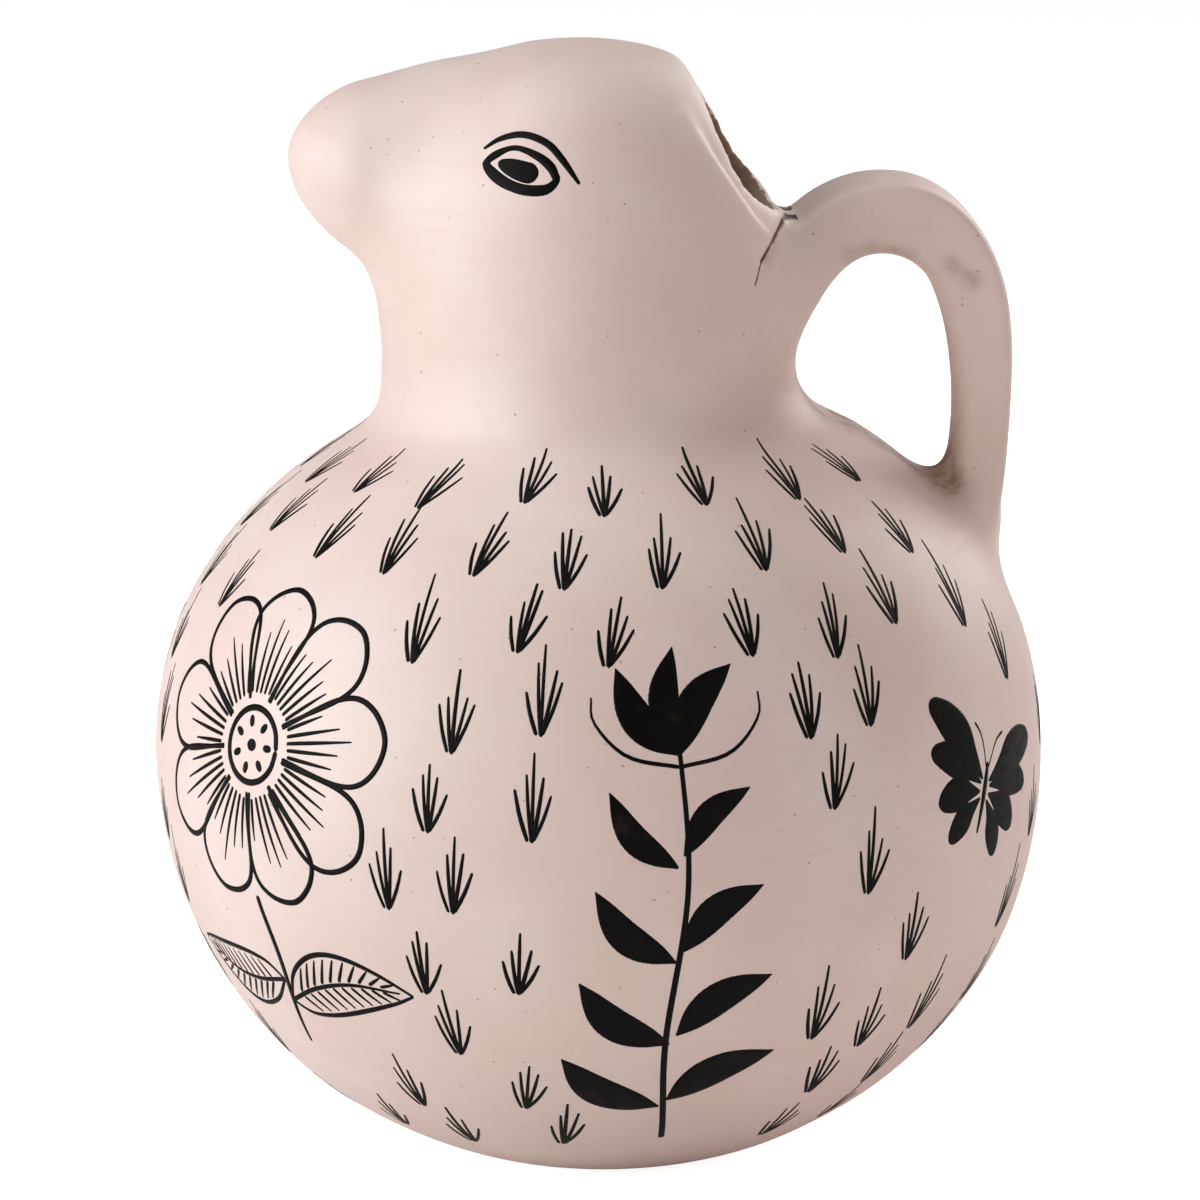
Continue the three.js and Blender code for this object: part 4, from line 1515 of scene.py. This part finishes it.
class JUG_OT_eyes(bpy.types.Operator):
    """Paints the bird's two eyes"""
    bl_idname = "jug.eyes"
    bl_label = "Eyes"

    def execute(self, context):
        settings = context.scene.bird_jug
        skin_tree, relief = tree_of(SKIN), formed(settings.paint).relief
        bm = bmesh.new()
        for side in (-1, 1):
            way = Vector((EYE_MIDDLE[0], EYE_MIDDLE[1] * side, EYE_MIDDLE[2])) - HEAD_HEART
            eye(bm, Patch(skin_tree, HEAD_HEART, way, way.length, mirrored=side > 0), relief)
        painted("painted_eyes", bm, settings)
        return {"FINISHED"}


TUFT_ROWS, TUFT_LIFT = range(-5, 5), 0.06  # rows from the equator, and the lift of the middle one in radians
TUFT_SHIFTS = (0.0, 0.3, -0.3)  # places that a tuft tries, as shares of the spacing


class JUG_OT_tufts(bpy.types.Operator):
    """Paints staggered rows of grass tufts round the body"""
    bl_idname = "jug.tufts"
    bl_label = "Grass tufts"

    def execute(self, context):
        settings = context.scene.bird_jug
        v, h, p = all_formed(settings, "vessel", "handle", "paint")
        skin_tree = tree_of(SKIN)
        chance = random.Random(p.seed)
        foot = Vector(strap_foot(v, h) - (0.0, 0.0, v.equator))
        bm = bmesh.new()
        painted_spots = []
        step = p.row_spacing / v.body_radius
        for row in TUFT_ROWS:
            lift = row * step + TUFT_LIFT
            count = round(2 * math.pi * v.body_radius * math.cos(lift) / p.tuft_spacing)
            for k in range(count):
                turn = 2 * math.pi * (k + 0.5 * (row % 2)) / count + chance.uniform(-0.035, 0.035)
                tilt = lift + chance.uniform(-0.03, 0.03)
                for shift in TUFT_SHIFTS:
                    aside = turn + shift * 2 * math.pi / count
                    patch = body_patch(skin_tree, v, math.degrees(aside), math.degrees(tilt))
                    spot = patch.facing * v.body_radius
                    crowded = any((spot - other).length < p.crowding for other in painted_spots)
                    clear = (spot - foot).length > p.bare_foot and not crowded
                    if clear and free_of_motifs(patch, v, p.tuft_height):
                        tuft(bm, patch, p, chance)
                        painted_spots.append(spot)
                        break
        painted("painted_tufts", bm, settings)
        return {"FINISHED"}


class JUG_OT_motifs(bpy.types.Operator):
    """Paints the larger flowers, sprigs and butterflies round the body"""
    bl_idname = "jug.motifs"
    bl_label = "Flowers and butterflies"

    def execute(self, context):
        settings = context.scene.bird_jug
        v, relief = formed(settings.vessel), formed(settings.paint).relief
        skin_tree = tree_of(SKIN)
        chance = random.Random(settings.paint.seed)
        for number, (kind, turn, lift, size) in enumerate(MOTIFS, start=1):
            bm = bmesh.new()
            patch = body_patch(skin_tree, v, turn, lift)
            if kind == "rosette":
                rosette(bm, patch, relief, size, chance)
            elif kind == "sprig":
                sprig(bm, patch, relief, size)
            else:
                butterfly(bm, patch, relief, size, BUTTERFLY_TILT)
            painted(f"painted_{kind}_{number}", bm, settings)
        return {"FINISHED"}


LAMPS = (
    # name, place and breadth in metres, tint
    ("key", (-1.38, -0.44, 0.47), 1.2, (0.955, 1.0, 1.02)),
    ("fill", (1.1, -0.85, 0.45), 0.8, (1.0, 0.93, 0.89)),
    ("top", (-0.35, 0.05, 1.35), 0.8, (1.0, 1.0, 1.0)),
    ("back", (0.95, 0.92, 0.8), 1.0, (1.0, 1.0, 1.0)),
)
LAMP_AIM = Vector((0.0, 0.0, 0.12))
SKY_TINT = (1.0, 0.94, 0.9, 1.0)
SKY_SEEN = 1.1  # strength of the sky where the camera sees it


def lamp(name, place, power, breadth, tint):
    """A large soft lamp that looks at the jug."""
    data = bpy.data.lights.new(name, "AREA")
    data.energy, data.size, data.color = power, breadth, tint
    light = bpy.data.objects.new(name, data)
    light.location = place
    light.rotation_euler = (LAMP_AIM - Vector(place)).to_track_quat("-Z", "Y").to_euler()
    bpy.context.scene.collection.objects.link(light)


class JUG_OT_stage(bpy.types.Operator):
    """Sets up the camera, the pale floor and the soft studio light"""
    bl_idname = "jug.stage"
    bl_label = "Studio"

    def execute(self, context):
        scene, s = context.scene, context.scene.bird_jug.studio
        scene.view_settings.view_transform = "Standard"
        level = Vector((math.sin(s.azimuth), -math.cos(s.azimuth), 0.0))
        back = level * math.cos(s.elevation) + UP * math.sin(s.elevation)
        data = bpy.data.cameras.new("camera")
        data.sensor_width = 36.0
        data.lens = data.sensor_width / 2 / math.tan(s.field / 2)
        data.shift_x = s.shift
        camera = bpy.data.objects.new("camera", data)
        camera.location = Vector((0.0, 0.0, s.aim)) + back * s.distance
        camera.rotation_euler = (-back).to_track_quat("-Z", "Y").to_euler()
        scene.collection.objects.link(camera)
        scene.camera = camera

        bm = bmesh.new()
        bmesh.ops.create_circle(bm, cap_ends=True, segments=96, radius=8.0)
        floor = bpy.data.objects.new("floor", as_mesh(bm, "floor"))
        floor.data.materials.append(self.floor_material(s))
        scene.collection.objects.link(floor)

        scene.world = bpy.data.worlds.new("studio")
        scene.world.use_nodes = True
        tree = scene.world.node_tree
        seen = self.seen_directly(tree)
        strength = maths(tree, "MULTIPLY_ADD", seen, SKY_SEEN - s.sky, s.sky)
        tree.links.new(strength, tree.nodes["Background"].inputs["Strength"])
        tree.nodes["Background"].inputs["Color"].default_value = SKY_TINT
        for name, place, breadth, tint in LAMPS:
            lamp(name, place, getattr(s, name), breadth, tint)
        return {"FINISHED"}

    def seen_directly(self, tree):
        """1 for what the camera sees straight, else 0."""
        return tree.nodes.new("ShaderNodeLightPath").outputs["Is Camera Ray"]

    def floor_material(self, s):
        """A pale floor that looks white to the camera and keeps the jug's shadow."""
        material, tree, shader = new_material("floor", 0.9)
        shader.inputs["Base Color"].default_value = (*s.floor, 1.0)
        shader.inputs["Specular IOR Level"].default_value = 0.0
        strength = maths(tree, "MULTIPLY", self.seen_directly(tree), s.glow)
        glow = new_node(tree, "ShaderNodeEmission", {"Strength": strength})
        both = new_node(tree, "ShaderNodeAddShader", {0: shader.outputs[0], 1: glow.outputs[0]})
        tree.links.new(both.outputs[0], tree.nodes["Material Output"].inputs["Surface"])
        return material


class JUG_PT_panel(bpy.types.Panel):
    """The jug's settings and steps in the sidebar"""
    bl_label = "Bird jug"
    bl_space_type = "VIEW_3D"
    bl_region_type = "UI"
    bl_category = "Bird jug"

    def draw(self, context):
        settings = context.scene.bird_jug
        for operator in STEPS:
            self.layout.operator(operator.bl_idname)
        for prop in BirdJugSettings.__annotations__:
            box = self.layout.box()
            box.label(text=prop.capitalize())
            group = getattr(settings, prop)
            for name in group.__annotations__:
                box.prop(group, name)


STEPS = (
    JUG_OT_stage, JUG_OT_form_clay, JUG_OT_body, JUG_OT_head, JUG_OT_handle, JUG_OT_seam_strips,
    JUG_OT_eyes, JUG_OT_tufts, JUG_OT_motifs,
)
CLASSES = (
    VesselSizes, BeakSizes, BlendSizes, MouthSizes, HandleSizes, ClaySettings, FinishColours, PaintSizes,
    StudioSettings, BirdJugSettings, *STEPS, JUG_PT_panel,
)


def register():
    for cls in CLASSES:
        bpy.utils.register_class(cls)
    bpy.types.Scene.bird_jug = PointerProperty(type=BirdJugSettings)


def unregister():
    del bpy.types.Scene.bird_jug
    for cls in reversed(CLASSES):
        bpy.utils.unregister_class(cls)


def main():
    register()
    bpy.ops.jug.stage()
    bpy.ops.jug.form_clay()
    bpy.ops.jug.body()
    bpy.ops.jug.head()
    bpy.ops.jug.handle()
    bpy.ops.jug.seam_strips()
    bpy.ops.jug.eyes()
    bpy.ops.jug.tufts()
    bpy.ops.jug.motifs()
    for name in (SKIN, HOLLOW, SHELL):
        bpy.data.meshes.remove(bpy.data.meshes[name])


if __name__ == "__main__":
    main()
